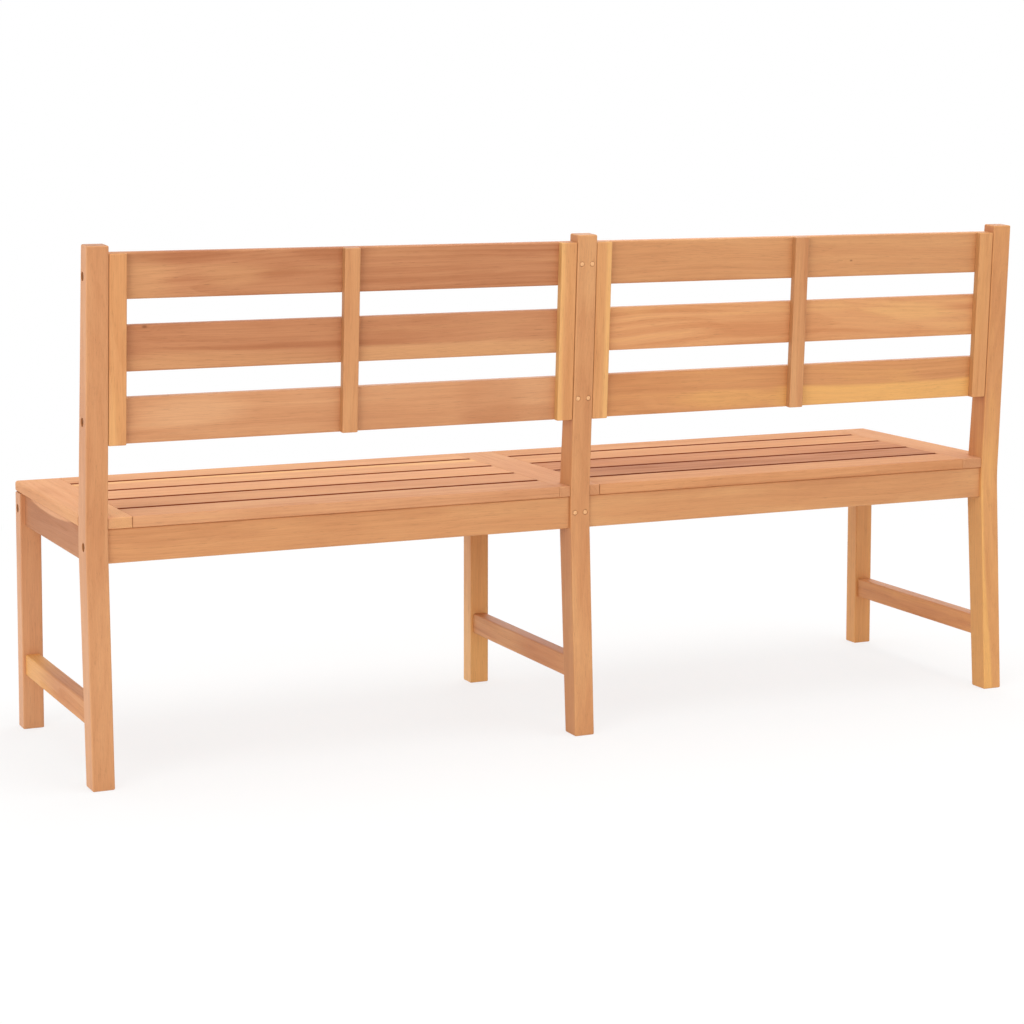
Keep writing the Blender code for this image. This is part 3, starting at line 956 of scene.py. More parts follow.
@dataclass(frozen=True)
class Steel:
    """Dulled steel: its tones, how fine its brushing and its stains are, and its roughness."""

    tone: Tone = (84, 78, 72)
    stained: Tone = (52, 42, 34)
    brushing: Layer = (3000, 400, 400), 2.0
    stains: Layer = (260, 260, 260), 3.0
    stain_share: float = 0.6
    roughness: float = 0.35
    unevenness: float = 0.2
    bump: float = 0.3
    relief: float = 0.0001

    def material(self, piece: "Turning") -> bpy.types.Material:
        """The finish on one fastener.

        Args:
            piece: the fastener.

        Returns:
            A material of its own.
        """
        material, nodes = new_material(f"{piece.piece_name}_steel")
        place = nodes.coordinate("Object")
        brushed = nodes.noise(place, *self.brushing)
        stain = nodes.noise(place, *self.stains)
        stained = stain.step(*STEPS.stain) * self.stain_share
        colour = nodes.mix(stained, linear(self.tone), linear(self.stained))
        bump = nodes.add("ShaderNodeBump", {}, {
            "Strength": self.bump, "Distance": self.relief, "Height": brushed})
        shader = nodes.add("ShaderNodeBsdfPrincipled", {}, {
            "Base Color": colour, "Metallic": 1.0, "Normal": bump,
            "Roughness": (brushed + stain) * self.unevenness + self.roughness})
        nodes.add("ShaderNodeOutputMaterial", {}, {"Surface": shader})
        return material


class Wood(Enum):
    """The teak that the bench's boards were sawn from, from dark to pale."""

    ROSE = Teak((199, 136, 94), (170, 102, 64), (218, 161, 111))
    AMBER = Teak((213, 150, 98), (186, 117, 71), (229, 174, 118), roughness=0.4, gloss=0.45)
    BLOND = Teak((212, 150, 103), (188, 121, 77), (228, 173, 126), roughness=0.4, gloss=0.45)
    WHEAT = Teak((208, 145, 96), (184, 116, 70), (225, 169, 118), roughness=0.4, gloss=0.45)
    HONEY = Teak((220, 157, 103), (194, 124, 73), (238, 182, 116))
    SUNNY = Teak((225, 162, 110), (204, 132, 84), (238, 184, 120))
    GOLD = Teak((215, 149, 94), (190, 118, 68), (240, 181, 104), roughness=0.4, gloss=0.45)
    UMBER = Teak((190, 129, 90), (168, 107, 71), (230, 170, 124), gloss=0.2)
    CREAM = Teak((227, 167, 122), (205, 140, 96), (242, 188, 128), roughness=0.56, gloss=0.12)
    PALE = Teak((218, 158, 114), (196, 131, 89), (233, 179, 128), roughness=0.56, gloss=0.12)
    HAZEL = Teak((219, 156, 108), (194, 128, 84), (234, 176, 122), roughness=0.56, gloss=0.12)
    BLUSH = Teak((202, 137, 93), (177, 110, 70), (217, 156, 106), roughness=0.56, gloss=0.12)
    RUSSET = Teak((193, 130, 89), (160, 96, 60), (210, 149, 104), roughness=0.56, gloss=0.12)
    DOWEL = Teak((246, 190, 136), (222, 160, 108), (252, 208, 158), roughness=0.32)


# Pieces

def show(name: str, node: str, mesh: BMesh) -> bpy.types.Object:
    """Make a finished mesh a piece that stands for its node.

    Args:
        name: the piece's name.
        node: the part's node that it stands for.
        mesh: the mesh, in the part's frame. It is freed.

    Returns:
        The piece.
    """
    shape = frozen(mesh, name)
    shape.shade_smooth()
    shape.set_sharp_from_angle(angle=SHARP)
    piece = linked(name, shape)
    normals = piece.modifiers.new("Even normals", "WEIGHTED_NORMAL")
    normals.keep_sharp = True
    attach(piece, "root")
    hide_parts(node)
    LOG.info("%s: %d faces", name, len(shape.polygons))
    return piece


@dataclass
class Board:
    """A board in the making: its mesh, how its grain lies, and what is cut out of it."""

    node: str
    slot: str
    mesh: BMesh
    place: Matrix
    reach: float
    width: float
    wood: Wood = Wood.AMBER
    figure: Figure = field(default_factory=Figure)
    cuts: list[BMesh] = field(default_factory=list)
    bores: list[Bore] = field(default_factory=list)

    @property
    def piece_name(self) -> str:
        """The piece's name, which isn't the node's."""
        return f"teak_{self.node}"

    @classmethod
    def sawn(cls, node: str, slot: str, box: Box, grain: Grain, ease: float = 0.003,
             end_ease: float = 0.0006, outer: tuple[int, float] = (0, 0.0), **looks: object) -> "Board":
        """A straight board from a box.

        Args:
            node: the part's node that it stands for.
            slot: the record's material slot.
            box: the board's extent.
            grain: which way its fibres run.
            ease: the rounding of its long edges.
            end_ease: the rounding of the edges round its ends.
            outer: the side along X, 1 or -1, whose long edges are rounded more, and how much.
            looks: the board's wood, figure and cuts.

        Returns:
            The board.
        """
        mesh = box.solid()
        along, across, _ = (Vector(axis) for axis in grain.value)
        side, outer_ease = outer
        if side:
            ease_edges(mesh, [edge for edge in edges_along(mesh, along)
                              if (edge.verts[0].co.x - box.middle.x) * side > 0], outer_ease)
        if ease >= end_ease:
            ease_edges(mesh, edges_along(mesh, along), ease)
        ends = [edge for edge in mesh.edges
                if any(abs(face.normal.dot(along)) > FACES_END for face in edge.link_faces)]
        ease_edges(mesh, ends, end_ease)
        ease_edges(mesh, [edge for edge in mesh.edges if edge.calc_face_angle() > SQUARE], ease)
        reach, width = (abs((box.high - box.low).dot(axis)) for axis in (along, across))
        return cls(node, slot, mesh, grain.place(box.middle), reach, width, **looks)

    def move(self, matrix: Matrix) -> "Board":
        """Move the board, what is cut out of it and its grain.

        Args:
            matrix: the move.

        Returns:
            The board itself.
        """
        for mesh in (self.mesh, *self.cuts):
            mesh.transform(matrix)
        self.place = matrix @ self.place
        return self

    def finish(self) -> bpy.types.Object:
        """Cut, show and dress the board."""
        piece = show(self.piece_name, self.node, worked(self.mesh, self.cuts))
        piece.data.materials.append(self.wood.value.material(self))
        return piece


@dataclass
class Turning:
    """A fastener in the making."""

    node: str
    slot: str
    mesh: BMesh

    @property
    def piece_name(self) -> str:
        """The piece's name, which isn't the node's."""
        return f"steel_{self.node}"

    def finish(self) -> bpy.types.Object:
        """Show and dress the fastener."""
        piece = show(self.piece_name, self.node, self.mesh)
        piece.data.materials.append(Steel().material(self))
        return piece


# Joints of aprons and back slats

@dataclass
class Joint:
    """The two ends of an apron or a back slat: bolted to the end frame and pegged into the centre frame.

    A pair of sizes is one across the fastener's axis and one along it.
    """

    bay: Bay
    box: Box
    peg_face: float
    peg_inward: int
    nut_distance: float
    bore_radius: float = 0.0075
    bore_depth: float = 0.008
    bore_ease: float = 0.0006
    hole_depth: float = 0.044
    bolt_radius: float = 0.003
    bolt_past_nut: float = 0.008
    bolt_tip_share: float = 0.7
    bolt_tip_length: float = 0.001
    head_radius: float = 0.0065
    head_length: float = 0.005
    washer_thickness: float = 0.0010
    washer_slope: float = 0.0002
    head_rounding: tuple[Point, ...] = ((0.0004, 0.0008), (0.0008, 0.0002), (0.0014, 0.0))
    socket_radius: float = 0.0028
    socket_depth: float = 0.0028
    socket_past: float = 0.003
    socket_sides: int = 6
    nut_radius: float = 0.005
    nut_length: float = 0.012
    nut_ease: float = 0.0006
    peg_radius: float = 0.0038
    peg_length: float = 0.028
    peg_proud: float = 0.0008
    peg_ease: float = 0.0006
    peg_steps: int = 5
    peg_from_shoulder: float = 0.009
    peg_mouth: Point = (0.0009, 0.0012)
    peg_room: Point = (0.0002, 0.0004)

    @property
    def out(self) -> Vector:
        """The direction from the bay to its end frame."""
        return Vector((self.bay.value, 0, 0))

    def at(self, distance: float) -> Vector:
        """A point on the bolt's axis.

        Args:
            distance: how far it is from the middle of the bench.

        Returns:
            The point.
        """
        return Vector((self.bay.value * distance, self.box.middle.y, self.box.middle.z))

    def bore(self) -> BMesh:
        """The counterbore with an eased mouth, and the bolt's hole in its floor."""
        wide, small = self.bore_radius, self.bolt_radius + LAYOUT.gap
        mouth = wide + self.bore_ease
        depth, deepest = self.bore_depth, self.hole_depth
        profile = [(0, -CUT_PAST), (mouth + CUT_PAST, -CUT_PAST), (mouth, 0), (wide, self.bore_ease),
                   (wide, depth), (small, depth), (small, deepest), (0, deepest)]
        return turned(profile, self.at(LAYOUT.length / 2), -self.out)

    def bore_mark(self, plane: Matrix = Matrix()) -> Bore:
        """Where the finish finds the counterbore.

        Args:
            plane: the place of the plane that the joint is built in.

        Returns:
            The counterbore's axis and radius.
        """
        place = plane @ self.at(0)
        return Bore(place.y, place.z, self.bore_radius)

    def peg_ends(self) -> tuple[Vector, Vector]:
        """The peg's place on the face that it comes out of, and its direction into the wood."""
        x = self.bay.value * (LAYOUT.bay[0] - self.peg_from_shoulder)
        return Vector((x, self.peg_face, self.box.middle.z)), Vector((0, self.peg_inward, 0))

    def peg_hole(self) -> BMesh:
        """The peg's hole, with a mouth that is a little wider."""
        face, inward = self.peg_ends()
        (wider, mouth_depth), (room, room_below) = self.peg_mouth, self.peg_room
        mouth, wide, depth = self.peg_radius + wider, self.peg_radius + room, self.peg_length + room_below
        profile = [(0, -CUT_PAST), (mouth, -CUT_PAST), (mouth, 0), (wide, mouth_depth), (wide, depth),
                   (0, depth)]
        return turned(profile, face, inward)

    def bolt(self, node: str) -> Turning:
        """The socket-head bolt with its washer, its pointed end and its barrel nut.

        Args:
            node: the part's node.

        Returns:
            The fastener.
        """
        seat = self.at(LAYOUT.length / 2 - self.bore_depth + LAYOUT.gap)
        head, top, thin = self.head_radius, self.head_length, self.bolt_radius
        nut = self.at(LAYOUT.bay[1] - self.nut_distance)
        reach = (seat - nut).length + self.bolt_past_nut
        shank = [(0, -reach), (thin * self.bolt_tip_share, -reach), (thin, self.bolt_tip_length - reach),
                 (thin, 0)]
        rim, thick = head - self.head_rounding[0][0], self.washer_thickness
        washer = [(head, 0), (head, thick), (rim, thick + self.washer_slope)]
        crown = [(head - inward, top - down) for inward, down in self.head_rounding]
        mesh = turned(shank + washer + crown + [(0, top)], seat, self.out)
        half = Vector((0, self.nut_length / 2, 0))
        mesh = worked(mesh, [rod(self.nut_radius, nut - half, nut + half, self.nut_ease)], "UNION")
        socket = rod(self.socket_radius, seat + self.out * (top - self.socket_depth),
                     seat + self.out * (top + self.socket_past), sides=self.socket_sides)
        return Turning(node, "bolt", worked(mesh, [socket]))

    def peg(self, node: str) -> Board:
        """The peg, with its end domed.

        Args:
            node: the part's node.

        Returns:
            The peg as a small board.
        """
        face, inward = self.peg_ends()
        wide, proud, length, ease = self.peg_radius, self.peg_proud, self.peg_length, self.peg_ease
        angles = [step * math.pi / 2 / self.peg_steps for step in range(1, self.peg_steps + 1)]
        dome = [(wide * math.sin(angle), -proud * math.cos(angle)) for angle in angles]
        profile = [(0.0, -proud)] + dome + [(wide, length - ease), (wide - ease, length), (0, length)]
        mesh = turned(profile, face, inward)
        place = Grain.FRONT_TO_BACK.place(face)
        figure = Figure(ring_pitch=0.0016, streaks=0.4, end_grain=0.1)
        return Board(node, "peg", mesh, place, length, wide * 2, Wood.DOWEL, figure)


# Sub-assemblies

@dataclass
class RearPosts:
    """The shape of the rear posts: bent boards that splay behind the seat and rake above it."""

    foot_depth: float = 0.0415
    bend_depth: float = 0.0485
    foot_splay: float = 0.0232
    bend_softness: float = 0.022
    ease: float = 0.0028

    def sides(self) -> tuple[list[Point], list[Point]]:
        """The (y, z) of the front and of the rear at the foot, the bend and the head."""
        plane = LAYOUT.back_plane
        head_rear = plane @ Vector((0, 0, LAYOUT.head_along))
        head_front = plane @ Vector((0, -LAYOUT.head_depth, LAYOUT.head_along))
        foot_rear = LAYOUT.bend_y + self.foot_splay
        front = [(foot_rear - self.foot_depth, 0.0), (LAYOUT.bend_y - self.bend_depth, LAYOUT.bend_height),
                 (head_front.y, head_front.z)]
        rear = [(foot_rear, 0.0), (LAYOUT.bend_y, LAYOUT.bend_height), (head_rear.y, head_rear.z)]
        return front, rear

    def face_y(self, side: int, z: float) -> float:
        """Y of the front face (side 0) or of the rear face (side 1) at a height.

        Args:
            side: which face.
            z: the height.

        Returns:
            Its Y.
        """
        line = self.sides()[side]
        low, high = line[:2] if z < line[1][1] else line[1:]
        return low[0] + (high[0] - low[0]) * (z - low[1]) / (high[1] - low[1])

    def mesh(self, x: float) -> BMesh:
        """A post with a softened bend and rounded edges.

        Args:
            x: where its middle is along the bench.

        Returns:
            A closed mesh.
        """
        front, rear = self.sides()
        half = LAYOUT.stock / 2
        mesh = prism(front + rear[::-1], x - half, x + half)
        bends = [edge for edge in edges_along(mesh, (1, 0, 0))
                 if math.isclose(edge.verts[0].co.z, LAYOUT.bend_height, abs_tol=SLIVER)]
        bmesh.ops.bevel(
            mesh, geom=bends, offset=self.bend_softness, offset_type="OFFSET", segments=BEND_STEPS,
            profile=0.5, affect="EDGES", clamp_overlap=True, material=-1)
        ease_edges(mesh, [edge for edge in mesh.edges if edge.calc_face_angle() > SHARP], self.ease)
        return mesh


POSTS = RearPosts()


@dataclass
class Seat:
    """The seat: aprons, a batten and five slats in each bay."""

    apron_thickness: float = 0.021
    apron_height: float = 0.0575
    apron_front_setback: float = 0.005
    apron_rear_setback: float = 0.0057
    apron_ease: float = 0.0024
    nut_distance: float = 0.030
    leg_peg_length: float = 0.022
    cross_board_width: float = 0.080
    cross_board_ease: float = 0.0045
    cross_board_end_ease: float = 0.0026
    joint_ease: float = 0.0008
    notch_room: float = 0.0005
    notch_past: float = 0.006
    batten_width: float = 0.045
    batten_height: float = 0.019
    batten_ease: float = 0.002
    slat_ease: float = 0.0024
    slat_sapwood: float = 0.028
    slat_woods: dict[Bay, tuple[Wood, ...]] = field(default_factory=lambda: {
        Bay.LEFT: (Wood.CREAM, Wood.CREAM, Wood.CREAM, Wood.PALE, Wood.PALE),
        Bay.RIGHT: (Wood.HAZEL, Wood.HAZEL, Wood.BLUSH, Wood.RUSSET, Wood.HAZEL)})

    def apron_joint(self, bay: Bay, place: str) -> Joint:
        """An apron's extent and its joints.

        Args:
            bay: the apron's bay.
            place: front or rear.

        Returns:
            The joint.
        """
        top = LAYOUT.support_top
        if place == "front":
            y, face, inward = LAYOUT.front_y + self.apron_front_setback, LAYOUT.front_y, 1
        else:
            y = LAYOUT.bend_y - self.apron_rear_setback - self.apron_thickness
            face, inward = POSTS.face_y(1, top - self.apron_height / 2), -1
        inner, outer = LAYOUT.bay
        box = Box((bay.value * (inner + LAYOUT.gap), y, top - self.apron_height),
                  (bay.value * (outer + LAYOUT.housing), y + self.apron_thickness, top))
        peg = {"peg_proud": 0.0, "peg_length": self.leg_peg_length} if place == "front" else {}
        return Joint(bay, box, face, inward, self.nut_distance, **peg)

    def cross_board(self, frame: Frame) -> Board:
        """The board over a leg frame, notched round its post.

        Args:
            frame: the leg frame.

        Returns:
            The board.
        """
        x, side = frame.value, (frame.value > 0) - (frame.value < 0)
        half = self.cross_board_width / 2
        middle = side * (LAYOUT.length / 2 - half)
        low_z, high_z = LAYOUT.seat_height - LAYOUT.seat_thickness, LAYOUT.seat_height
        rear_y = LAYOUT.bend_y - LAYOUT.rear_setback
        box = Box((middle - half, LAYOUT.front_y, low_z), (middle + half, rear_y, high_z))
        reach, past = LAYOUT.stock / 2 + self.notch_room, self.notch_past
        ends = [x - reach, x + reach]
        if side:
            ends[side > 0] = x + side * (reach + past)
        notch = Box((ends[0], POSTS.face_y(0, low_z) - self.notch_room, low_z - past),
                    (ends[1], rear_y + past, high_z + past))
        return Board.sawn(f"seat_cross_board_{frame.label}", "cross_board", box, Grain.FRONT_TO_BACK_FLAT,
                          ease=self.joint_ease, end_ease=self.cross_board_end_ease,
                          outer=(side, self.cross_board_ease), figure=Figure(streaks=0.45, end_grain=0.35),
                          wood=Wood.CREAM if frame is Frame.LEFT else Wood.PALE, cuts=[notch.solid()])

    def slats(self, bay: Bay) -> list[Board]:
        """The slats of a bay, from the front to the rear.

        Args:
            bay: the bay.

        Returns:
            Five boards.
        """
        inner = self.cross_board_width / 2 + LAYOUT.gap
        outer = LAYOUT.length / 2 - self.cross_board_width - LAYOUT.gap
        boards, y, last = [], LAYOUT.front_y, len(LAYOUT.slat_widths)
        for number, width in enumerate(LAYOUT.slat_widths, start=1):
            # The sides that face a gap get a painted shadow in the finish.
            gap_sides = tuple(side for side, there in ((-1, number > 1), (1, number < last)) if there)
            box = Box((bay.value * inner, y, LAYOUT.seat_height - LAYOUT.seat_thickness),
                      (bay.value * outer, y + width, LAYOUT.seat_height))
            pale_edge = -self.slat_sapwood if (bay, number) == (Bay.LEFT, 2) else 0.0
            boards.append(Board.sawn(
                f"seat_slat_{bay.label}_{number}", "seat", box, Grain.LENGTHWISE_FLAT, ease=self.slat_ease,
                wood=self.slat_woods[bay][number - 1],
                figure=Figure(streaks=0.75, gap_sides=gap_sides, sapwood=pale_edge)))
            y += width + LAYOUT.slat_gap
        return boards

    def build(self) -> None:
        """Build and dress the seat."""
        for frame in Frame:
            self.cross_board(frame).finish()
        for bay in Bay:
            for place in ("front", "rear"):
                joint = self.apron_joint(bay, place)
                Board.sawn(f"{place}_apron_{bay.label}", "apron", joint.box, Grain.LENGTHWISE,
                           ease=self.apron_ease, figure=Figure(streaks=0.42)).finish()
                joint.bolt(f"bolt_{bay.label}_{place}_apron").finish()
                joint.peg(f"peg_{bay.label}_{place}_apron").finish()
            front, rear = (self.apron_joint(bay, place).box for place in ("front", "rear"))
            middle = bay.value * sum(LAYOUT.bay) / 2
            half = self.batten_width / 2
            batten = Box((middle - half, front.high.y + LAYOUT.gap, LAYOUT.support_top - self.batten_height),
                         (middle + half, rear.low.y - LAYOUT.gap, LAYOUT.support_top))
            Board.sawn(f"seat_batten_{bay.label}", "apron", batten, Grain.FRONT_TO_BACK_FLAT,
                       ease=self.batten_ease).finish()
            for slat in self.slats(bay):
                slat.finish()


SEAT = Seat()


class Row(Named):
    """The three rows of back slats, from the top."""

    TOP = 0
    MIDDLE = 1
    BOTTOM = 2

    @property
    def pegged(self) -> bool:
        """Whether the row's slats are bolted and pegged."""
        return self is not Row.MIDDLE


@dataclass
class Back:
    """The back: three slats in each bay with three upright strips behind them, in the raked plane."""

    slat_height: float = 0.0766
    slat_gap: float = 0.0429
    slat_thickness: float = 0.019
    slat_ease: float = 0.0034
    below_head: float = 0.0133
    end_strip: float = 0.0305
    middle_strip: float = 0.0285
    strip_thickness: float = 0.0145
    strip_setback: float = 0.001
    strip_housing: float = 0.002
    strip_ease: float = 0.0026
    strip_end_ease: float = 0.002
    strip_sapwood: float = 0.011
    # Painted shade on the strips' faces that look along X.
    strip_side_tone: Triple = (0.75, 0.76, 0.73)
    slat_looks: dict[tuple[Bay, Row], tuple[Wood, Figure]] = field(default_factory=lambda: {
        (Bay.LEFT, Row.TOP): (Wood.ROSE, Figure(streaks=0.95, ring_pitch=0.007, arch=0.06, patches=(
            Patch(0.37, 0.0, 0.06, 0.06, Shade.SAP, 0.55),
            Patch(0.30, 0.036, 0.10, 0.016, Shade.HEART, 0.55),
            Patch(0.035, 0.034, 0.07, 0.024, Shade.HEART, 0.6),
            Patch(0.2, -0.005, 0.06, 0.02, Shade.SAP, 0.4)))),
        (Bay.LEFT, Row.MIDDLE): (Wood.ROSE, Figure(
            streaks=0.6, sapwood=-0.0298, sapwood_end=0.0, sapwood_slope=0.0295, patches=(
                Patch(0.2, -0.024, 0.22, 0.018, Shade.SAP, 0.4),
                Patch(0.1, -0.003, 0.2, 0.006, Shade.HEART, 0.5)),
            knots=(Knot(0.358, 0.036, 0.0024),))),
        (Bay.LEFT, Row.BOTTOM): (Wood.BLOND, Figure(streaks=0.7, patches=(
            Patch(0.27, 0.008, 0.09, 0.03, Shade.SAP, 0.6),
            Patch(-0.265, 0.004, 0.055, 0.06, Shade.HEART, 0.35),
            Patch(-0.33, -0.026, 0.12, 0.016, Shade.HEART, 0.35)))),
        (Bay.RIGHT, Row.TOP): (Wood.AMBER, Figure(streaks=0.55, knots=(Knot(-0.111, -0.0047, 0.0017),))),
        (Bay.RIGHT, Row.MIDDLE): (Wood.SUNNY, Figure(ring_pitch=0.008, arch=0.08, wave=0.06, patches=(
            Patch(0.09, -0.02, 0.1, 0.016, Shade.HEART, 0.5),
            Patch(-0.25, 0.012, 0.1, 0.016, Shade.SAP, 0.5)))),
        (Bay.RIGHT, Row.BOTTOM): (Wood.GOLD, Figure(
            streaks=0.6, sapwood=-0.036, sapwood_end=0.03, sapwood_slope=-0.01, patches=(
                Patch(0.37, 0.03, 0.06, 0.02, Shade.HEART, 0.5),
                Patch(0.12, -0.02, 0.12, 0.016, Shade.SAP, 0.35))))})

    def slat_joint(self, bay: Bay, row: Row) -> Joint:
        """A slat's extent and its joints, in the back's plane.

        Args:
            bay: the slat's bay.
            row: the slat's row.

        Returns:
            The joint.
        """
        top = LAYOUT.head_along - self.below_head - row.value * (self.slat_height + self.slat_gap)
        rear = self.strip_housing - self.strip_setback - self.strip_thickness - LAYOUT.gap
        inner, outer = LAYOUT.bay
        inner += LAYOUT.gap if row.pegged else -LAYOUT.housing
        box = Box((bay.value * inner, rear - self.slat_thickness, top - self.slat_height),
                  (bay.value * (outer + LAYOUT.housing), rear, top))
        return Joint(bay, box, 0.0, -1, LAYOUT.gap + self.end_strip / 2)

    def strip(self, bay: Bay, place: str) -> Board:
        """An upright strip, with the slats let a little into it.

        Args:
            bay: the strip's bay.
            place: inner, middle or outer.

        Returns:
            The board, in the back's plane.
        """
        inner, outer = LAYOUT.bay
        width = self.middle_strip if place == "middle" else self.end_strip
        aside = LAYOUT.gap + self.end_strip / 2
        x = bay.value * {"inner": inner + aside, "middle": (inner + outer) / 2, "outer": outer - aside}[place]
        slats = [self.slat_joint(bay, row).box for row in Row]
        box = Box((x - width / 2, -self.strip_setback - self.strip_thickness, slats[-1].low.z),
                  (x + width / 2, -self.strip_setback, slats[0].high.z))
        figure = Figure(ring_pitch=0.005, streaks=0.6, side_tone=self.strip_side_tone,
                        sapwood=bay.value * self.strip_sapwood if place == "inner" else 0.0)
        wood = Wood.AMBER if place == "middle" else Wood.HONEY
        return Board.sawn(f"back_strip_{bay.label}_{place}", "strip", box, Grain.UPRIGHT,
                          ease=self.strip_ease, end_ease=self.strip_end_ease, wood=wood, figure=figure,
                          cuts=[slat.solid(LAYOUT.gap) for slat in slats])

    def post_cuts(self, frame: Frame) -> list[BMesh]:
        """What is cut out of a post for the back.

        Args:
            frame: the post's leg frame.

        Returns:
            The solids, in the part's frame.
        """
        cuts = []
        for bay in frame.bays:
            for row in Row:
                joint = self.slat_joint(bay, row)
                if frame is not Frame.CENTRE or not row.pegged:
                    cuts.append(joint.box.solid(LAYOUT.gap))
                if row.pegged:
                    cuts.append(joint.peg_hole() if frame is Frame.CENTRE else joint.bore())
        for cut in cuts:
            cut.transform(LAYOUT.back_plane)
        return cuts

    def build(self) -> None:
        """Build and dress the back."""
        plane = LAYOUT.back_plane
        for bay in Bay:
            for row in Row:
                joint = self.slat_joint(bay, row)
                wood, figure = self.slat_looks[bay, row]
                slat = Board.sawn(f"back_slat_{bay.label}_{row.label}", f"back_{bay.label}", joint.box,
                                  Grain.LENGTHWISE, ease=self.slat_ease, wood=wood, figure=figure)
                slat.move(plane).finish()
                if row.pegged:
                    bolt = joint.bolt(f"bolt_{bay.label}_back_{row.label}")
                    bolt.mesh.transform(plane)
                    bolt.finish()
                    joint.peg(f"peg_{bay.label}_back_{row.label}").move(plane).finish()
            for place in ("inner", "middle", "outer"):
                self.strip(bay, place).move(plane).finish()


BACK = Back()


# Paler lower legs and post feet: partly paler wood, partly painted light on the low parts that the bench
# shades.
PALE_AND_LIT_LEG = Patch(-0.13, 0, 0.26, 0.08, Shade.SAP, 0.3)
PALE_AND_LIT_FOOT = Patch(-0.34, 0, 0.32, 0.08, Shade.SAP, 0.25)
# The multipliers on the faces that look along X are painted light where above 1 and painted shade where below
# 1.
FRAME_LOOKS: dict[tuple[str, Frame], tuple[Wood, Figure]] = {
    ("front_leg", Frame.LEFT): (Wood.BLOND, Figure(
        streaks=0.6, side_tone=(1.10, 1.16, 1.30), patches=(PALE_AND_LIT_LEG,))),
    # The centre leg's strong pale patch low down is partly paler wood, partly painted light where the bench
    # shades it.
    ("front_leg", Frame.CENTRE): (Wood.HONEY, Figure(
        streaks=0.6, side_tone=(1.08, 1.18, 1.50), patches=(
            Patch(-0.13, 0, 0.26, 0.08, Shade.SAP, 0.45), Patch(-0.22, 0, 0.17, 0.08, Shade.SAP, 1.0)))),
    ("front_leg", Frame.RIGHT): (Wood.GOLD, Figure(
        streaks=0.6, side_tone=(1.10, 1.16, 1.22), patches=(PALE_AND_LIT_LEG,))),
    ("rear_post", Frame.LEFT): (Wood.WHEAT, Figure(
        streaks=0.5, arch=0.02, side_tone=(1.10, 1.16, 1.30), patches=(PALE_AND_LIT_FOOT,))),
    ("rear_post", Frame.CENTRE): (Wood.AMBER, Figure(
        streaks=0.5, arch=0.02, side_tone=(0.88, 0.85, 0.80))),
    ("rear_post", Frame.RIGHT): (Wood.GOLD, Figure(
        streaks=0.5, arch=0.02, side_tone=(0.85, 0.82, 0.85), patches=(PALE_AND_LIT_FOOT,), sapwood=0.005,
        sapwood_end=-0.03, sapwood_slope=0.025)),
    ("side_rail", Frame.LEFT): (Wood.UMBER, Figure(streaks=0.5, patches=(
        Patch(-0.01, 0.0295, 0.15, 0.0145, Shade.SAP, 0.95, 0.1),))),
    ("side_rail", Frame.CENTRE): (Wood.AMBER, Figure(streaks=0.6)),
    ("side_rail", Frame.RIGHT): (Wood.GOLD, Figure(streaks=0.6)),
    # The left stretcher's pale front end: partly paler wood, partly painted light where the leg shades it.
    ("stretcher", Frame.LEFT): (Wood.GOLD, Figure(streaks=0.6, side_tone=(1.0, 0.95, 0.88), patches=(
        Patch(-0.22, 0, 0.2, 0.06, Shade.SAP, 0.7),))),
    ("stretcher", Frame.CENTRE): (Wood.AMBER, Figure(streaks=0.8, patches=(
        Patch(-0.034, 0, 0.07, 0.06, Shade.SAP, 0.5, 0.6),
        Patch(0.08, 0, 0.13, 0.06, Shade.HEART, 0.35, 0.7)))),
    ("stretcher", Frame.RIGHT): (Wood.GOLD, Figure(streaks=0.6))}


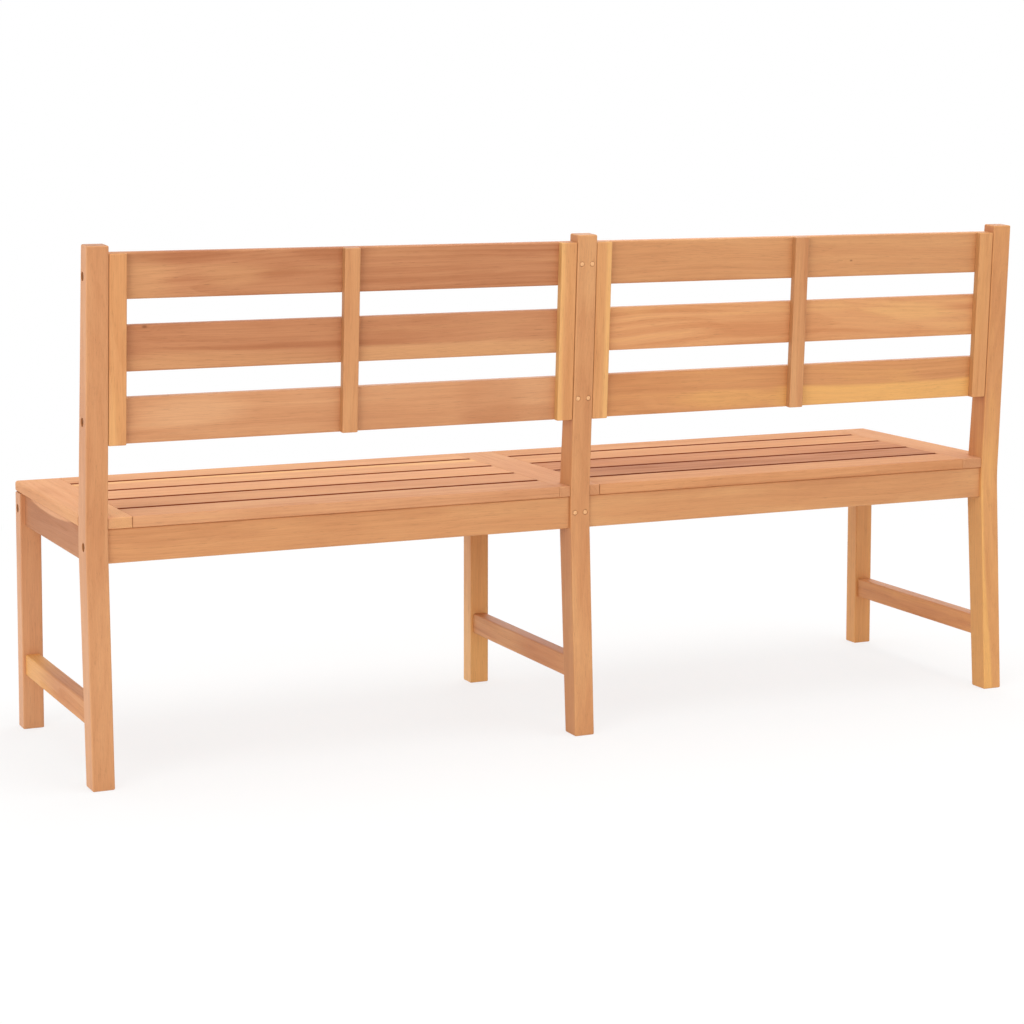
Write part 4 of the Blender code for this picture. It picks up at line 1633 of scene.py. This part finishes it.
@dataclass
class LegFrame:
    """A front leg, a rear post, and the side rail and the stretcher between them."""

    frame: Frame
    leg_depth: float = 0.035
    rail_thickness: float = 0.020
    rail_height: float = 0.059
    stretcher_thickness: float = 0.0265
    stretcher_height: float = 0.038
    stretcher_top: float = 0.1365
    ease: float = 0.0028
    end_ease: float = 0.002

    def apron_cuts(self, place: str) -> list[BMesh]:
        """What is cut out of the leg or the post for the aprons.

        Args:
            place: front or rear.

        Returns:
            The solids.
        """
        cuts = []
        for bay in self.frame.bays:
            joint = SEAT.apron_joint(bay, place)
            if self.frame is Frame.CENTRE:
                cuts.append(joint.peg_hole())
            else:
                cuts += [joint.bore(), joint.box.solid(LAYOUT.gap)]
        return cuts

    def bores(self, place: str) -> list[Bore]:
        """The counterbores in the leg or the post.

        Args:
            place: front for the leg or rear for the post.

        Returns:
            The counterbores, for the finish.
        """
        if self.frame is Frame.CENTRE:
            return []
        bay, = self.frame.bays
        marks = [SEAT.apron_joint(bay, place).bore_mark()]
        if place == "rear":
            marks += [BACK.slat_joint(bay, row).bore_mark(LAYOUT.back_plane) for row in Row if row.pegged]
        return marks

    def leg(self) -> Board:
        """The front leg."""
        x, half, front = self.frame.value, LAYOUT.stock / 2, LAYOUT.front_y
        box = Box((x - half, front, 0), (x + half, front + self.leg_depth, LAYOUT.support_top))
        wood, figure = FRAME_LOOKS["front_leg", self.frame]
        return Board.sawn(f"front_leg_{self.frame.label}", "frame", box, Grain.UPRIGHT, ease=self.ease,
                          end_ease=self.end_ease, wood=wood, figure=figure, cuts=self.apron_cuts("front"),
                          bores=self.bores("front"))

    def post(self) -> Board:
        """The rear post."""
        x = self.frame.value
        place = Grain.UPRIGHT.place(Vector((x, LAYOUT.bend_y - POSTS.bend_depth / 2, LAYOUT.height / 2)))
        cuts = self.apron_cuts("rear") + BACK.post_cuts(self.frame)
        return Board(f"rear_post_{self.frame.label}", "frame", POSTS.mesh(x), place, LAYOUT.height,
                     LAYOUT.stock, *FRAME_LOOKS["rear_post", self.frame], cuts, self.bores("rear"))

    def rail(self, name: str, thickness: float, low: float, high: float) -> Board:
        """A side rail or a stretcher, whose rear end follows the post.

        Args:
            name: the node's name without the frame's word.
            thickness: how thick it is along X.
            low: the height of its lower edge.
            high: the height of its upper edge.

        Returns:
            The board.
        """
        x, start = self.frame.value, LAYOUT.front_y + self.leg_depth + LAYOUT.gap
        levels = [low, *(z for z in (LAYOUT.bend_height,) if low < z < high), high]
        outline = [(start, high), (start, low)] + [(POSTS.face_y(0, z) - LAYOUT.gap, z) for z in levels]
        mesh = prism(outline, x - thickness / 2, x + thickness / 2)
        ease_edges(mesh, edges_along(mesh, (0, 1, 0)), self.ease)
        end = POSTS.face_y(0, high)
        middle = Vector((x, (start + end) / 2, (low + high) / 2))
        return Board(f"{name}_{self.frame.label}", "frame", mesh, Grain.FRONT_TO_BACK.place(middle),
                     end - start, high - low, *FRAME_LOOKS[name, self.frame])

    def build(self) -> None:
        """Build and dress the leg frame."""
        top = LAYOUT.support_top
        self.leg().finish()
        self.post().finish()
        self.rail("side_rail", self.rail_thickness, top - self.rail_height, top).finish()
        self.rail("stretcher", self.stretcher_thickness, self.stretcher_top - self.stretcher_height,
                  self.stretcher_top).finish()


# Studio

@dataclass(frozen=True)
class SoftBox:
    """A large soft lamp: where it hangs, what it points at, its size and its power."""

    name: str
    place: Triple
    target: Triple
    size: float
    watts: float

    def build(self) -> None:
        """Hang the lamp."""
        data = bpy.data.lights.new(self.name, "AREA")
        data.shape = "DISK"
        data.size = self.size
        data.energy = self.watts
        lamp = linked(self.name, data)
        lamp.location = self.place
        lamp.rotation_euler = (Vector(self.target) - Vector(self.place)).to_track_quat("-Z", "Y").to_euler()


@dataclass
class Studio:
    """A pale floor under a white surround, soft lamps, and the camera behind the bench."""

    floor_radius: float = 30.0
    floor_sides: int = 96
    floor_seen: Tone = (250, 250, 249)
    floor_bounce: Tone = (240, 239, 237)
    floor_white: float = 0.74
    floor_fade: Point = (0.9, 2.4)
    floor_stretch: Triple = (0.75, 1, 1)
    zenith: float = 0.62
    horizon: float = 0.95
    camera_place: Triple = (1.9791, 4.1848, 1.1234)
    camera_yaw: float = 0.43568
    camera_pitch: float = 0.09275
    camera_roll: float = 0.00196
    camera_lens: float = 88.378
    camera_sensor: float = 36.0
    camera_shift: float = -0.17
    lamps: tuple[SoftBox, ...] = (
        SoftBox("key", (4.4, 3.4, 2.2), (0.0, 0.0, 0.4), 3.4, 86),
        SoftBox("top", (-0.6, 0.4, 4.6), (0.0, 0.0, 0.4), 3.6, 84),
        SoftBox("front_fill", (-2.4, -3.8, 2.4), (0.0, 0.0, 0.4), 3.2, 24),
    )

    @staticmethod
    def seen_directly(nodes: Nodes) -> Wire:
        """1 for what the camera sees directly, in a mirror or through glass, and 0 for the light it sheds."""
        rays = [nodes.add("ShaderNodeLightPath", {}, {}, f"Is {kind} Ray")
                for kind in ("Camera", "Glossy", "Transmission")]
        return (rays[0] + rays[1] + rays[2]).step(0.0, 1.0)

    def floor(self) -> None:
        """Lay the floor: pale, and fading into the white surround away from the bench."""
        mesh = bmesh.new()
        bmesh.ops.create_circle(mesh, cap_ends=True, segments=self.floor_sides, radius=self.floor_radius)
        floor = linked("floor", frozen(mesh, "floor"))
        material, nodes = new_material("pale_floor")
        direct = self.seen_directly(nodes)
        tone = nodes.mix(direct, linear(self.floor_bounce), linear(self.floor_seen))
        matt = nodes.add("ShaderNodeBsdfDiffuse", {}, {"Color": tone})
        white = nodes.add("ShaderNodeEmission", {}, {"Color": WHITE, "Strength": 1.0})
        away = nodes.length(nodes.vector("MULTIPLY", nodes.coordinate("Object"), self.floor_stretch))
        share = away.step(*self.floor_fade).raised(self.floor_white) * direct
        shown = nodes.add("ShaderNodeMixShader", {}, {0: share, 1: matt, 2: white})
        nodes.add("ShaderNodeOutputMaterial", {}, {"Surface": shown})
        floor.data.materials.append(material)

    def light(self) -> None:
        """Light the bench softly from all round, and show white behind it."""
        world = bpy.data.worlds.new("white_surround")
        world.use_nodes = True
        bpy.context.scene.world = world
        nodes = Nodes(world.node_tree)
        height = abs(nodes.part(nodes.coordinate("Generated"), "Z"))
        level = height * (self.zenith - self.horizon) + self.horizon
        soft = nodes.add("ShaderNodeBackground", {}, {"Color": WHITE, "Strength": level})
        white = nodes.add("ShaderNodeBackground", {}, {"Color": WHITE, "Strength": 1.0})
        shown = nodes.add("ShaderNodeMixShader", {}, {0: self.seen_directly(nodes), 1: soft, 2: white})
        nodes.add("ShaderNodeOutputWorld", {}, {"Surface": shown})
        for lamp in self.lamps:
            lamp.build()

    def camera(self) -> None:
        """Set up the camera at the photograph's angle."""
        data = bpy.data.cameras.new("camera")
        data.lens = self.camera_lens
        data.sensor_width = self.camera_sensor
        data.shift_y = self.camera_shift
        camera = linked("camera", data)
        yaw, pitch = self.camera_yaw, self.camera_pitch
        flat = math.cos(pitch)
        forward = Vector((-math.sin(yaw) * flat, -math.cos(yaw) * flat, -math.sin(pitch)))
        turn = forward.to_track_quat("-Z", "Y").to_matrix().to_4x4()
        roll = Matrix.Rotation(self.camera_roll, 4, "Z")
        camera.matrix_world = Matrix.Translation(self.camera_place) @ turn @ roll
        bpy.context.scene.camera = camera

    def build(self) -> None:
        """Build the studio."""
        self.floor()
        self.light()
        self.camera()
        bpy.context.scene.view_settings.view_transform = "Standard"


def main() -> None:
    """Build the bench piece by piece, then the studio."""
    logging.basicConfig(level=logging.INFO, format="%(message)s")
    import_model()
    for frame in Frame:
        LegFrame(frame).build()
    SEAT.build()
    BACK.build()
    Studio().build()


if __name__ == "__main__":
    main()
